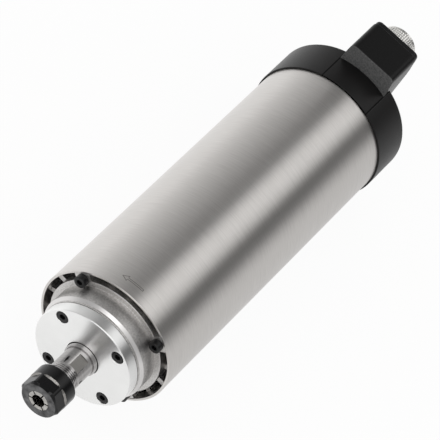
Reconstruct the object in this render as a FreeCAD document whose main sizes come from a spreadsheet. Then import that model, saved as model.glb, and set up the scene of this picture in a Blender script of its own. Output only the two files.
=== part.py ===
# Motor spindle, air cooled, with a collet nose and a fan cover.
# Millimetres. X is the spindle axis, the nose points to -X and the junction box stands to +Z.
# The origin lies on the axis in the plane of the sleeve's front rim.
import FreeCAD, Part
import math
import os
import Sketcher

Vector = FreeCAD.Vector
Placement = FreeCAD.Placement
Rotation = FreeCAD.Rotation

os.makedirs("parts", exist_ok=True)
doc = FreeCAD.newDocument("MotorSpindle")
sheet = doc.addObject("Spreadsheet::Sheet", "Sizes")


class Size:
    # A number together with the sheet formula that gives it, so that arithmetic on sizes stays bound.
    def __init__(self, value, text):
        self.value = float(value)
        self.text = text

    def combine(self, other, sign, value, swap=False):
        other = other if isinstance(other, Size) else Size(other, repr(other))
        first, second = (other, self) if swap else (self, other)
        return Size(value(first.value, second.value), "(%s %s %s)" % (first.text, sign, second.text))

    def __add__(self, other):
        return self.combine(other, "+", lambda a, b: a + b)

    def __radd__(self, other):
        return self.combine(other, "+", lambda a, b: a + b, True)

    def __sub__(self, other):
        return self.combine(other, "-", lambda a, b: a - b)

    def __rsub__(self, other):
        return self.combine(other, "-", lambda a, b: a - b, True)

    def __mul__(self, other):
        return self.combine(other, "*", lambda a, b: a * b)

    def __rmul__(self, other):
        return self.combine(other, "*", lambda a, b: a * b, True)

    def __truediv__(self, other):
        return self.combine(other, "/", lambda a, b: a / b)

    def __neg__(self):
        return self * -1


class Sizes:
    # The driving dimensions: one attribute and one row of the sheet for each.
    def __init__(self, values):
        for row, (alias, value) in enumerate(values.items(), 1):
            sheet.set("A%d" % row, alias)
            sheet.set("B%d" % row, str(value))
            sheet.setAlias("B%d" % row, alias)
            setattr(self, alias, Size(value, "Sizes." + alias))


sizes = {
    # Sleeve and finned motor body
    "airSpace": 3.4,  # room for the cooling air between the tube and the sleeve
    "sleeveWall": 1.1,  # wall of the sleeve
    "bodyLength": 162.6,  # sleeve, from its front rim to the fan cover
    "sleeveOverlap": 4.9,  # sleeve inside the fan cover
    "registerDepth": 0.5,  # register turned on the sleeve for the fan cover
    "tubeWall": 4,  # wall of the finned tube
    "spigotStep": 1.4,  # bore of the finned tube, smaller than the nose
    "tubeSetback": 14.6,  # rear end of the finned tube, ahead of the fan cover
    "finCount": 18,  # cooling fins round the tube
    "finAngle": 3.5,  # first fin, from +Z towards +Y
    "finThickness": 2.6,  # thickness of a fin
    "finGap": 0.1,  # gap between the fins and the sleeve
    "earCount": 4,  # screw ears round a flange
    "earAngle": 47.2,  # first ear, from +Z towards +Y
    "earWidth": 7.4,  # width of an ear
    # Front flange and its cover
    "flangeThickness": 5,  # thickness of the front and rear flange plates
    "noseLength": 10.2,  # nose of the front flange, ahead of the sleeve's rim
    "noseWall": 9.4,  # wall of the nose round the bearings
    "noseLand": 0.9,  # cylindrical land at the nose's front edge
    "noseStep": 1.2,  # height and length of the cone behind the land
    "spigotGap": 0.05,  # a flange spigot in the finned tube
    "frontLip": 2.5,  # lip behind the front bearings, its thickness
    "lipHeight": 2.5,  # height of the lip behind a bearing
    "coverStep": 1.4,  # front cover, smaller than the nose
    "coverThickness": 5.5,  # thickness of the front cover
    "coverGap": 0.25,  # gap between the lock nut and the cover's hole
    "recessGap": 1.5,  # recess in the cover, beyond the lock nut's flange
    "recessPlay": 0.6,  # recess in the cover, deeper than the lock nut's flange
    # Bearings
    "journalStep": 0.5,  # step from the nose thread up to the bearings' bore
    "bearingSection": 8.5,  # height of a bearing's section
    "bearingWidth": 9,  # width of a bearing
    "raceWall": 1.8,  # thickness of a race
    "ballGap": 0.07,  # gap between a ball and a race
    "ballCount": 10,  # balls in a bearing
    "cageWall": 1.2,  # thickness of a ball cage
    "cageRim": 0.77,  # cage beside a ball pocket
    "pocketGap": 0.15,  # play between a ball and its pocket
    # Shaft
    "shaftReach": 24.8,  # shaft's front end, ahead of the front cover
    "mouthWall": 1.25,  # wall of the shaft's nose, outside the largest radius of the collet
    "shoulderHeight": 2.5,  # shoulder behind the front bearings, above the bearings' bore
    "shoulderLength": 4.7,  # length of that shoulder
    "coreStep": 1,  # seat of the rotor core, above the bearings' bore
    "tailStep": 1.5,  # seat of the fan, below the bearings' bore
    "threadStep": 2,  # thread at the tail, below the fan's seat
    "tailLength": 6,  # tail thread, behind the fan hub
    "flatDepth": 0.5,  # depth of the two wrench flats
    "flatReach": 11.7,  # front end of the flats, ahead of the front cover
    "flatLength": 7.7,  # length of the flats
    "flatAngle": -12,  # normal of the upper flat, from +Z towards +Y
    "lockBarrel": 0.75,  # wall of the lock nut's barrel
    "lockReach": 2,  # lock nut's front end, ahead of the front cover
    "lockFlangeHeight": 3.5,  # flange of the lock nut, beyond the cover's hole
    "lockFlangeWidth": 2.6,  # width of that flange
    "seatGap": 0.02,  # gap of a seated fit
    # Collet and its nut
    "toolRadius": 3,  # bore of the collet
    "coneOut": 0.7,  # long cone of the collet, out of the shaft's nose
    "colletLength": 18,  # length of the collet
    "coneHeight": 1,  # height of the collet's front cone
    "tipWall": 1.75,  # wall of the collet at its front face
    "frontCone": 1.7,  # length of the collet's front cone
    "colletRim": 1.3,  # length of the collet's cylindrical rim
    "grooveWidth": 1.8,  # width of the groove that the nut pulls on
    "grooveDepth": 0.65,  # depth of that groove
    "rimStep": 0.2,  # large end of the collet's long cone, below its rim
    "coneSlope": 0.1405,  # radius lost for each millimetre of the cone, 8 degrees
    "slitCount": 6,  # slits in the collet
    "slitWidth": 0.6,  # width of a slit
    "slitLength": 13,  # length of a slit
    "slitAngle": -5.5,  # first front slit, from +Z towards +Y
    "nutWall": 2.5,  # wall of the collet nut over the thread
    "nutLength": 12.6,  # length of the collet nut
    "nutChamfer": 1.2,  # chamfer of the nut's front edge
    "hexDepth": 1,  # flats of the nut's hexagon, below its outside
    "hexLength": 6.55,  # length of the nut's hexagon
    "hexAngle": 7.8,  # normal of the nut's upper flat, from +Z towards +Y
    "ringReach": 0.45,  # bore of the nut's pulling ring, above the bottom of the collet's groove
    "nutGap": 0.05,  # gap between the nut and what is inside it
    # Motor
    "coreSetback": 35,  # front end of the cores, behind the tube's front end
    "coreRear": 38,  # rear end of the cores, ahead of the tube's rear end
    "airGap": 0.35,  # air gap of the motor
    "statorDepth": 9.65,  # depth of the stator's ring
    "slotCount": 24,  # stator slots
    "slotWidth": 2,  # width of a stator slot
    "slotDepth": 5,  # depth of a stator slot
    "endRingLength": 6,  # end ring of the rotor cage
    "endRingStep": 1,  # end ring, below the rotor core
    "windingGap": 1.25,  # inside of the end turns, above the stator's bore
    "windingInset": 1.6,  # outside of the end turns, in from the tube's bore
    "windingLength": 15,  # end turns, out of the core
    # Rear flange and its bearing
    "rearSpigot": 14,  # rear spigot inside the finned tube
    "rearLip": 2,  # lip of the rear bearing seat
    "springSpace": 1.5,  # room for the preload spring
    "springStrip": 0.4,  # strip of the preload spring
    "springWaves": 3,  # waves of the preload spring
    # Fan
    "hubWall": 3,  # wall of the fan hub
    "tailGap": 2.7,  # gap between the shaft's end and the fan cover's rear wall
    "bladeCount": 9,  # blades of the fan
    "bladeGap": 0.7,  # gap between the blades and the screw posts
    "bladeLead": 13,  # front edge of the blades, ahead of the hub's end
    "bladeLength": 11,  # blades along the axis
    "bladeThickness": 1.6,  # thickness of a blade along the axis
    "bladeSweep": 4,  # half of a blade's sweep round the axis
    "fanNutWall": 2.5,  # wall of the fan nut at its flats
    "fanNutHeight": 4.5,  # height of the fan nut
    # Fan cover
    "capDepth": 20.6,  # depth of the fan cover
    "capStand": 0.9,  # fan cover, proud of the sleeve
    "capWall": 2.2,  # side wall of the fan cover behind the sleeve
    "capRearWall": 2.5,  # rear wall of the fan cover
    "capEdge": 0.8,  # chamfer of the fan cover's rear edge
    "capGap": 0.05,  # gap between the fan cover and the sleeve
    "grilleCount": 20,  # air slots in the rear wall
    "grilleWidth": 2,  # width of an air slot
    "grilleInner": 10,  # inner end of the air slots
    "grilleGap": 1.2,  # wall between the air slots and the screw posts
    "postCount": 3,  # screw posts of the fan cover
    "postAngle": 60,  # first post, from +Z towards +Y
    "postInset": 2.5,  # screw posts, in from the tube's outside
    "postRadius": 2.8,  # radius of a post
    # Junction box
    "saddlePlay": 0.05,  # notch in the fan cover, wider than the box on each side
    "saddleGap": 0.16,  # gap between the saddle and the notch on each side
    "boxSetback": 14.9,  # front face of the box, behind the fan cover's front edge
    "boxLength": 14.3,  # box behind the fan cover
    "boxRise": 9.1,  # top of the box, above the fan cover
    "boxMargin": 5.95,  # top and bottom of the box, beyond the socket's flange
    "shoulderDrop": 2.4,  # height where the box's sides start to lean in, below the fan cover's outside
    "boxSide": 3.7,  # side of the box, beyond the socket's flange
    "boxLean": 0.8,  # how far each side leans in
    "boxRound": 3,  # rounding of the box's long upper edges
    "boxWall": 2.2,  # wall of the box
    "bossWall": 1.8,  # wall of a corner boss inside the box, round its screw
    "wireHole": 4,  # radius of the wire hole in the box's front wall
    "wireHoleRise": 8,  # wire hole, above the bottom of the box
    "plateThickness": 2.5,  # thickness of the box plate
    "plateInset": 0.3,  # edge of the plate, in from the sides of the box
    "plateScrewInset": 3.2,  # plate screws, in from the sides of the box
    # Power socket
    "socketRadius": 8,  # outside of the socket's shell
    "shellWall": 1.1,  # wall of the socket's shell
    "socketReach": 11,  # rear rim of the socket, behind the plate
    "shellFlange": 1.3,  # height of the shell's flange, inside the box
    "socketFlangeWidth": 2,  # width of that flange
    "ringWall": 1,  # knurled ring, beyond the shell
    "ringLength": 11.3,  # length of the knurled ring
    "insertLength": 6.5,  # length of the socket's insulator
    "pinCount": 4,  # pins of the socket
    "pinRadius": 0.8,  # radius of a pin
    "pinCircle": 3.6,  # distance of the pins from the socket's axis
    "pinLength": 3.2,  # pins, out of the insulator
    # Screws
    "shankRadius": 1.5,  # M3 shank radius
    "headRadius": 2.75,  # M3 head radius
    "headHeight": 3,  # M3 head height
    "keySpan": 2.5,  # M3 hexagon socket, across flats
    "sinkGap": 0.25,  # counterbore of a flush screw, wider than its head
    "earScrewLength": 16,  # shank of the ear screws
    "coverScrewLength": 8,  # shank of the cover screws
    "plateScrewLength": 8,  # shank of the plate screws
    "lowHead": 1.6,  # height of a plate screw's low head
    "postScrewGrip": 4.8,  # shank in the rear flange, behind a post
    "holeGap": 0.1,  # screw hole, larger than its shank
    "keyDepth": 1.6,  # depth of a hexagon socket
    "coverScrewInset": 3.9,  # cover screws, in from the cover's outside
    "coverScrewAngle": 55.4,  # first cover screw, from +Z towards +Y
    "earScrewGap": 0.55,  # gap between an ear screw's head and the nose
}
s = Sizes(sizes)
doc.recompute()

subparts = []


def bind(target, prop, size):
    # Sets a property to a size and ties it to the sheet.
    if isinstance(size, Size):
        target.setExpression(prop, size.text)
    else:
        setattr(target, prop, size)


def originFeature(body, role):
    return [feature for feature in body.Origin.OriginFeatures if feature.Role == role][0]


def newBody(label):
    body = doc.addObject("PartDesign::Body", label)
    body.Label = label
    body.AllowCompound = True
    subparts.append(body)
    return body


def newSketch(body, name, role, offset=0, angle=0):
    # A sketch on one of the body's own planes. On YZ_Plane the offset is a station on the axis, and
    # the angle turns what is drawn along +Z towards +Y.
    sketch = body.newObject("Sketcher::SketchObject", name)
    sketch.AttachmentSupport = [(originFeature(body, role), "")]
    sketch.MapMode = "FlatFace"
    offsetValue = offset.value if isinstance(offset, Size) else offset
    angleValue = angle.value if isinstance(angle, Size) else angle
    sketch.AttachmentOffset = Placement(Vector(0, 0, offsetValue), Rotation(Vector(0, 0, 1), -angleValue))
    if isinstance(offset, Size):
        sketch.setExpression("AttachmentOffset.Base.z", offset.text)
    if isinstance(angle, Size):
        sketch.setExpression("AttachmentOffset.Rotation.Yaw", (-angle).text)
    return sketch


def numberOf(size):
    return size.value if isinstance(size, Size) else float(size)


def pin(sketch, geometry, point, across, up):
    # Fixes one point of the sketch at sizes measured from the sketch's origin.
    if isinstance(across, Size) or across:
        index = sketch.addConstraint(
            Sketcher.Constraint("DistanceX", -1, 1, geometry, point, numberOf(across)))
        if isinstance(across, Size):
            sketch.setExpression("Constraints[%d]" % index, across.text)
    else:
        sketch.addConstraint(Sketcher.Constraint("PointOnObject", geometry, point, -2))
    if isinstance(up, Size) or up:
        index = sketch.addConstraint(
            Sketcher.Constraint("DistanceY", -1, 1, geometry, point, numberOf(up)))
        if isinstance(up, Size):
            sketch.setExpression("Constraints[%d]" % index, up.text)
    else:
        sketch.addConstraint(Sketcher.Constraint("PointOnObject", geometry, point, -1))


def outline(sketch, points):
    # A closed outline of straight lines through points that are given as sizes.
    places = [Vector(numberOf(across), numberOf(up), 0) for across, up in points]
    first = sketch.GeometryCount
    count = len(points)
    for index in range(count):
        sketch.addGeometry(Part.LineSegment(places[index], places[(index + 1) % count]))
    for index in range(count):
        following = first + (index + 1) % count
        sketch.addConstraint(Sketcher.Constraint("Coincident", first + index, 2, following, 1))
    for index, (across, up) in enumerate(points):
        pin(sketch, first + index, 1, across, up)


def rectangle(sketch, left, right, low, high):
    outline(sketch, [(left, low), (right, low), (right, high), (left, high)])


def circle(sketch, across, up, radius):
    centre = Vector(numberOf(across), numberOf(up), 0)
    index = sketch.addGeometry(Part.Circle(centre, Vector(0, 0, 1), numberOf(radius)))
    pin(sketch, index, 3, across, up)
    constraint = sketch.addConstraint(Sketcher.Constraint("Radius", index, numberOf(radius)))
    if isinstance(radius, Size):
        sketch.setExpression("Constraints[%d]" % constraint, radius.text)


def polygon(sketch, across, up, radius, sides=12):
    # A regular polygon inside a circle, for holes, shanks and heads that stay hidden.
    points = []
    for side in range(sides):
        turn = 2 * math.pi * side / sides
        points.append((across + radius * math.cos(turn), up + radius * math.sin(turn)))
    outline(sketch, points)


def hexagon(sketch, up, span):
    # A regular hexagon across flats, with two flats square to the sketch's vertical axis.
    corner = span / math.sqrt(3)
    points = []
    for across, rise in ((1, 0), (0.5, 0.5), (-0.5, 0.5), (-1, 0), (-0.5, -0.5), (0.5, -0.5)):
        points.append((corner * across, up + span * rise))
    outline(sketch, points)


def turned(body, name, points, kind="Revolution", angle=360):
    # Revolves an outline of (station, radius) points round the axis.
    sketch = newSketch(body, name + "Profile", "XZ_Plane")
    outline(sketch, points)
    feature = body.newObject("PartDesign::" + kind, name)
    feature.Profile = sketch
    feature.ReferenceAxis = (sketch, ["H_Axis"])
    bind(feature, "Angle", angle)
    feature.Midplane = True
    return feature


def pad(body, name, sketch, length, reverse=False):
    feature = body.newObject("PartDesign::Pad", name)
    feature.Profile = sketch
    bind(feature, "Length", length)
    feature.Reversed = reverse
    return feature


def pocket(body, name, sketch, length, forward=True):
    # Cuts along the sketch's normal when forward, as far as the length.
    feature = body.newObject("PartDesign::Pocket", name)
    feature.Profile = sketch
    bind(feature, "Length", length)
    feature.Reversed = forward
    return feature


def aroundAxis(body, name, originals, count):
    # Repeats features round the X axis.
    feature = body.newObject("PartDesign::PolarPattern", name)
    feature.Originals = originals
    feature.Axis = (originFeature(body, "X_Axis"), [""])
    feature.Angle = 360
    bind(feature, "Occurrences", count)
    body.Tip = feature
    return feature


def filleted(body, name, base, wanted, radius):
    # Rounds the edges of the base that the test picks by their middle point.
    doc.recompute()
    names = []
    for index, edge in enumerate(base.Shape.Edges):
        middle = edge.valueAt((edge.FirstParameter + edge.LastParameter) / 2)
        if wanted(edge, middle):
            names.append("Edge%d" % (index + 1))
    feature = body.newObject("PartDesign::Fillet", name)
    feature.Base = (base, names)
    bind(feature, "Radius", radius)
    return feature


def drilled(body, name, station, length, distance, angle, count, radius, shape=polygon):
    # A ring of holes that start at a station and run towards +X.
    sketch = newSketch(body, name + "Outline", "YZ_Plane", station, angle)
    shape(sketch, 0, distance, radius)
    hole = pocket(body, name, sketch, length)
    return aroundAxis(body, name + "Ring", [hole], count)


# Stations along the axis, each from the piece that it follows
flangeFront = -s.noseLength
coverFront = flangeFront - s.coverThickness
shaftFront = coverFront - s.shaftReach
colletFront = shaftFront - s.coneOut - s.grooveWidth - s.colletRim - s.frontCone
colletRear = colletFront + s.colletLength
pairEnd = flangeFront + s.bearingWidth * 2
tubeStart = s.flangeThickness
capStart = s.bodyLength
capEnd = capStart + s.capDepth
capInside = capEnd - s.capRearWall
sleeveEnd = capStart + s.sleeveOverlap
capStep = sleeveEnd + s.capGap
tubeEnd = capStart - s.tubeSetback
rearPlateEnd = tubeEnd + s.flangeThickness
rearSeat = tubeEnd - s.rearSpigot + s.rearLip + s.springSpace
rearRaceEnd = rearSeat + s.bearingWidth
bearingStarts = [flangeFront, flangeFront + s.bearingWidth, rearSeat]
shaftEnd = capInside - s.tailGap
hubEnd = shaftEnd - s.tailLength
coreStart = tubeStart + s.coreSetback
coreEnd = tubeEnd - s.coreRear
boxFront = capStart + s.boxSetback
boxRear = capEnd + s.boxLength
plateRear = boxRear + s.plateThickness

# Radii from the inside out, so that what fits over or into another piece follows it
holeRadius = s.shankRadius + s.holeGap
colletTip = s.toolRadius + s.tipWall
colletRadius = colletTip + s.coneHeight
coneRadius = colletRadius - s.rimStep
grooveRadius = coneRadius - s.grooveDepth
shaftRadius = colletRadius + s.mouthWall
flatSpan = (shaftRadius - s.flatDepth) * 2
nutRing = grooveRadius + s.ringReach
nutRadius = shaftRadius + s.nutWall
nutSpan = (nutRadius - s.hexDepth) * 2
bearingBore = shaftRadius + s.journalStep
bearingRadius = bearingBore + s.bearingSection
ballCircle = (bearingBore + bearingRadius) / 2
ballRadius = s.bearingSection / 2 - s.raceWall - s.ballGap
pocketHalf = ballRadius + s.pocketGap
shoulderRadius = bearingBore + s.shoulderHeight
coreSeat = bearingBore + s.coreStep
tailRadius = bearingBore - s.tailStep
tailThread = tailRadius - s.threadStep
hubRadius = tailRadius + s.hubWall
lipBore = bearingRadius - s.lipHeight
barrelRadius = shaftRadius + s.lockBarrel
coverHole = barrelRadius + s.coverGap
lockFlange = coverHole + s.lockFlangeHeight
recessRadius = lockFlange + s.recessGap
noseRadius = bearingRadius + s.noseWall
coverRadius = noseRadius - s.coverStep
coverScrewCircle = coverRadius - s.coverScrewInset
earScrewCircle = noseRadius + s.earScrewGap + s.headRadius
tubeBore = noseRadius - s.spigotStep
tubeRadius = tubeBore + s.tubeWall
spigotRadius = tubeBore - s.spigotGap
statorBore = tubeBore - s.statorDepth
rotorRadius = statorBore - s.airGap
sleeveBore = tubeRadius + s.airSpace
sleeveRadius = sleeveBore + s.sleeveWall
registerRadius = sleeveRadius - s.registerDepth
finTip = sleeveBore - s.finGap
capOverSleeve = registerRadius + s.capGap
shellFlange = s.socketRadius + s.shellFlange
capRadius = sleeveRadius + s.capStand
capBore = capRadius - s.capWall
postCircle = tubeRadius - s.postInset
bladeTip = postCircle - s.postRadius - s.bladeGap
grilleOuter = postCircle - s.postRadius - s.grilleGap
boxTop = capRadius + s.boxRise
boxBottom = boxTop - (shellFlange + s.boxMargin) * 2
boxHalfWidth = shellFlange + s.boxSide
notchHalf = boxHalfWidth + s.saddlePlay
saddleHalf = notchHalf - s.saddleGap
boxShoulder = capRadius - s.shoulderDrop
boxHalfTop = boxHalfWidth - s.boxLean
bossWidth = s.plateScrewInset - s.boxWall + holeRadius + s.bossWall
socketHeight = (boxTop + boxBottom) / 2
socketBore = s.socketRadius - s.shellWall


def arcAngle(half, radius):
    # The angle round the axis that an arc of this half width covers at a radius.
    value = 2 * math.degrees(math.asin(half.value / radius.value))
    return Size(value, "(2 * asin(%s / %s))" % (half.text, radius.text))


def ribs(body, name, start, length, width, angle, count):
    # Ribs along the axis, from inside the tube's wall out to the sleeve.
    sketch = newSketch(body, name + "Outline", "YZ_Plane", start, angle)
    rectangle(sketch, -width / 2, width / 2, tubeRadius - 1, sleeveRadius)
    rib = pad(body, name, sketch, length)
    aroundAxis(body, name + "Ring", [rib], count)


def trimmed(body, start, length):
    # Trims ribs to the inside of the sleeve.
    outside = sleeveRadius + 2
    turned(body, "trim", [(start - 1, finTip), (start - 1, outside), (start + length + 1, outside),
                          (start + length + 1, finTip)], "Groove")


def outerSleeve():
    body = newBody("outer_sleeve")
    turned(body, "tube", [(0, sleeveBore), (0, sleeveRadius), (capStart, sleeveRadius),
                          (capStart, registerRadius), (sleeveEnd, registerRadius),
                          (sleeveEnd, sleeveBore)])


def motorBody():
    # Fins carry the heat to the air that the fan draws past, and four wider ribs take the ear screws.
    body = newBody("motor_body")
    length = tubeEnd - tubeStart
    turned(body, "tube", [(tubeStart, tubeBore), (tubeStart, tubeRadius),
                          (tubeEnd, tubeRadius), (tubeEnd, tubeBore)])
    ribs(body, "fin", tubeStart, length, s.finThickness, s.finAngle, s.finCount)
    ribs(body, "screwRib", tubeStart, length, s.earWidth, s.earAngle, s.earCount)
    trimmed(body, tubeStart, length)
    depth = s.earScrewLength - s.flangeThickness + 1
    drilled(body, "frontTapping", tubeStart, depth, earScrewCircle, s.earAngle, s.earCount, holeRadius)
    drilled(body, "rearTapping", tubeEnd - depth, depth, earScrewCircle, s.earAngle, s.earCount,
            holeRadius)


def frontFlange():
    body = newBody("front_flange")
    landRadius = noseRadius - s.noseStep
    coneStart = flangeFront + s.noseLand
    lipEnd = pairEnd + s.frontLip
    turned(body, "turning", [
        (flangeFront, bearingRadius), (flangeFront, landRadius), (coneStart, landRadius),
        (coneStart + s.noseStep, noseRadius), (0, noseRadius), (0, tubeRadius),
        (s.flangeThickness, tubeRadius), (s.flangeThickness, spigotRadius), (lipEnd, spigotRadius),
        (lipEnd, lipBore), (pairEnd, lipBore), (pairEnd, bearingRadius)])
    ribs(body, "ear", 0, s.flangeThickness, s.earWidth, s.earAngle, s.earCount)
    trimmed(body, 0, s.flangeThickness)
    drilled(body, "earHole", 0, s.flangeThickness, earScrewCircle, s.earAngle, s.earCount,
            holeRadius)
    drilled(body, "coverTapping", flangeFront, s.coverScrewLength, coverScrewCircle,
            s.coverScrewAngle, s.earCount, holeRadius)


def frontCover():
    body = newBody("front_cover")
    recess = flangeFront - s.lockFlangeWidth - s.recessPlay
    turned(body, "disc", [
        (coverFront, coverHole), (coverFront, coverRadius), (flangeFront, coverRadius),
        (flangeFront, recessRadius), (recess, recessRadius), (recess, coverHole)])
    drilled(body, "screwHole", coverFront, s.coverThickness, coverScrewCircle, s.coverScrewAngle,
            s.earCount, holeRadius)
    drilled(body, "screwSink", coverFront, s.headHeight + s.holeGap, coverScrewCircle,
            s.coverScrewAngle, s.earCount, s.headRadius + s.sinkGap, circle)


def rearFlange():
    body = newBody("rear_flange")
    start = tubeEnd - s.rearSpigot
    seat = start + s.rearLip
    turned(body, "turning", [
        (start, lipBore), (start, spigotRadius), (tubeEnd, spigotRadius), (tubeEnd, tubeRadius),
        (rearPlateEnd, tubeRadius), (rearPlateEnd, bearingRadius), (seat, bearingRadius),
        (seat, lipBore)])
    ribs(body, "ear", tubeEnd, s.flangeThickness, s.earWidth, s.earAngle, s.earCount)
    trimmed(body, tubeEnd, s.flangeThickness)
    drilled(body, "earHole", tubeEnd, s.flangeThickness, earScrewCircle, s.earAngle, s.earCount,
            holeRadius)
    drilled(body, "postTapping", tubeEnd, s.flangeThickness, postCircle, s.postAngle, s.postCount,
            holeRadius)


def shaft():
    body = newBody("shaft")
    socketEnd = colletRear + 1
    coneAt = colletFront + s.frontCone + s.colletRim + s.grooveWidth

    def socketRadius(station):
        return coneRadius - (station - coneAt) * s.coneSlope + s.seatGap

    turned(body, "turning", [
        (shaftFront, socketRadius(shaftFront)), (shaftFront, shaftRadius),
        (flangeFront, shaftRadius),
        (flangeFront, bearingBore), (pairEnd, bearingBore), (pairEnd, shoulderRadius),
        (pairEnd + s.shoulderLength, shoulderRadius), (pairEnd + s.shoulderLength, coreSeat),
        (rearSeat, coreSeat), (rearSeat, bearingBore), (rearRaceEnd, bearingBore),
        (rearRaceEnd, tailRadius), (hubEnd, tailRadius), (hubEnd, tailThread),
        (shaftEnd, tailThread), (shaftEnd, 0), (socketEnd, 0),
        (socketEnd, socketRadius(socketEnd))])
    sketch = newSketch(body, "flatOutline", "YZ_Plane", coverFront - s.flatReach, s.flatAngle)
    rectangle(sketch, -shaftRadius, shaftRadius, flatSpan / 2, shaftRadius + 1)
    flat = pocket(body, "flat", sketch, s.flatLength)
    aroundAxis(body, "flats", [flat], 2)


def frontLockNut():
    body = newBody("front_lock_nut")
    bore = shaftRadius + s.seatGap
    front = coverFront - s.lockReach
    step = flangeFront - s.lockFlangeWidth
    turned(body, "turning", [(front, bore), (front, barrelRadius), (step, barrelRadius),
                             (step, lockFlange), (flangeFront, lockFlange), (flangeFront, bore)])


def races():
    # Plain rings: the two front bearings stand side by side, the third is at the rear.
    outer = newBody("outer_races")
    inner = newBody("inner_races")
    for index, start in enumerate(bearingStarts):
        end = start + s.bearingWidth - s.seatGap
        innerTop = bearingBore + s.raceWall
        outerLow = bearingRadius - s.raceWall
        turned(outer, "outerRace%d" % index, [(start, outerLow), (start, bearingRadius),
                                              (end, bearingRadius), (end, outerLow)])
        turned(inner, "innerRace%d" % index, [(start, bearingBore), (start, innerTop),
                                              (end, innerTop), (end, bearingBore)])


def cages():
    # A ring with a square pocket for each ball, one ring for each bearing.
    body = newBody("bearing_cages")
    inner = ballCircle - s.cageWall / 2
    outer = ballCircle + s.cageWall / 2
    for index, start in enumerate(bearingStarts):
        middle = start + s.bearingWidth / 2
        low = middle - pocketHalf - s.cageRim
        high = middle + pocketHalf + s.cageRim
        turned(body, "ring%d" % index, [(low, inner), (low, outer), (high, outer), (high, inner)])
        sketch = newSketch(body, "pocketOutline%d" % index, "XY_Plane")
        rectangle(sketch, middle - pocketHalf, middle + pocketHalf, -pocketHalf, pocketHalf)
        hole = pocket(body, "pocket%d" % index, sketch, bearingRadius)
        aroundAxis(body, "pockets%d" % index, [hole], s.ballCount)


def facetedSolid(points, faces):
    # A closed solid from corner points and lists of corner numbers.
    shells = []
    for corners in faces:
        loop = [points[corner] for corner in corners]
        shells.append(Part.Face(Part.makePolygon(loop + loop[:1])))
    return Part.makeSolid(Part.makeShell(shells))


def facetedBall(radius, centre, sides=6):
    # A ball with six sides and three rings of corners, which stays inside the real sphere.
    points = [centre + Vector(0, 0, -radius)]
    for tilt in (-45, 0, 45):
        for side in range(sides):
            turn = 2 * math.pi * side / sides
            ring = radius * math.cos(math.radians(tilt))
            height = radius * math.sin(math.radians(tilt))
            points.append(centre + Vector(ring * math.cos(turn), ring * math.sin(turn), height))
    points.append(centre + Vector(0, 0, radius))
    faces = []
    top = len(points) - 1
    for side in range(sides):
        after = (side + 1) % sides
        faces.append([0, 1 + after, 1 + side])
        for ring in (0, 1):
            low = 1 + ring * sides
            faces.append([low + side, low + after, low + sides + after, low + sides + side])
        faces.append([1 + 2 * sides + side, 1 + 2 * sides + after, top])
    return facetedSolid(points, faces)


def balls():
    count = int(s.ballCount.value)
    solids = []
    for start in bearingStarts:
        middle = start.value + s.bearingWidth.value / 2
        for index in range(count):
            ball = facetedBall(ballRadius.value, Vector(0, 0, ballCircle.value))
            ball.rotate(Vector(0, 0, 0), Vector(1, 0, 0), 360 * index / count)
            ball.translate(Vector(middle, 0, 0))
            solids.append(ball)
    feature = doc.addObject("Part::Feature", "bearing_balls")
    feature.Label = "bearing_balls"
    feature.Shape = Part.makeCompound(solids)
    subparts.append(feature)


def preloadSpring():
    # A wave washer between the rear seat's lip and the outer race.
    inner = lipBore.value + 0.5
    outer = bearingRadius.value - 0.3
    strip = s.springStrip.value
    middle = rearSeat.value - s.springSpace.value / 2
    swing = (s.springSpace.value - strip) / 2 - 0.02
    sides = int(s.springWaves.value) * 8
    points = []
    for side in range(sides):
        turn = 2 * math.pi * side / sides
        rise = middle + swing * math.cos(s.springWaves.value * turn)
        for station in (rise - strip / 2, rise + strip / 2):
            for radius in (inner, outer):
                points.append(Vector(station, radius * math.sin(turn), radius * math.cos(turn)))
    faces = []
    for side in range(sides):
        here = 4 * side
        there = 4 * ((side + 1) % sides)
        faces.append([here, here + 1, there + 1])
        faces.append([here, there + 1, there])
        faces.append([here + 2, there + 3, here + 3])
        faces.append([here + 2, there + 2, there + 3])
        faces.append([here + 1, here + 3, there + 3, there + 1])
        faces.append([here, there, there + 2, here + 2])
    feature = doc.addObject("Part::Feature", "preload_spring")
    feature.Label = "preload_spring"
    feature.Shape = facetedSolid(points, faces)
    subparts.append(feature)


def statorCore():
    body = newBody("stator_core")
    turned(body, "stack", [(coreStart, statorBore), (coreStart, tubeBore - s.seatGap),
                           (coreEnd, tubeBore - s.seatGap), (coreEnd, statorBore)])
    sketch = newSketch(body, "slotOutline", "YZ_Plane", coreStart)
    rectangle(sketch, -s.slotWidth / 2, s.slotWidth / 2, statorBore - 1, statorBore + s.slotDepth)
    slot = pocket(body, "slot", sketch, coreEnd - coreStart)
    aroundAxis(body, "slots", [slot], s.slotCount)


def prism(name, sides, radius, start, length):
    # A regular prism along the axis.
    solid = doc.addObject("Part::Prism", name)
    solid.Polygon = sides
    solid.Placement = Placement(Vector(0, 0, 0), Rotation(Vector(0, 1, 0), 90))
    bind(solid, "Circumradius", radius)
    bind(solid, "Height", length)
    solid.setExpression("Placement.Base.x", start.text)
    return solid


def statorWindings():
    # One flat side for each slot's coil, on both ends of the core.
    rings = []
    sides = int(s.slotCount.value)
    for name, start in (("frontTurns", coreStart - s.windingLength), ("rearTurns", coreEnd)):
        ring = doc.addObject("Part::Cut", name)
        ring.Base = prism(name + "Outside", sides, tubeBore - s.windingInset, start, s.windingLength)
        ring.Tool = prism(name + "Inside", sides, statorBore + s.windingGap, start, s.windingLength)
        rings.append(ring)
    both = doc.addObject("Part::MultiFuse", "stator_windings")
    both.Label = "stator_windings"
    both.Shapes = rings
    subparts.append(both)


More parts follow.
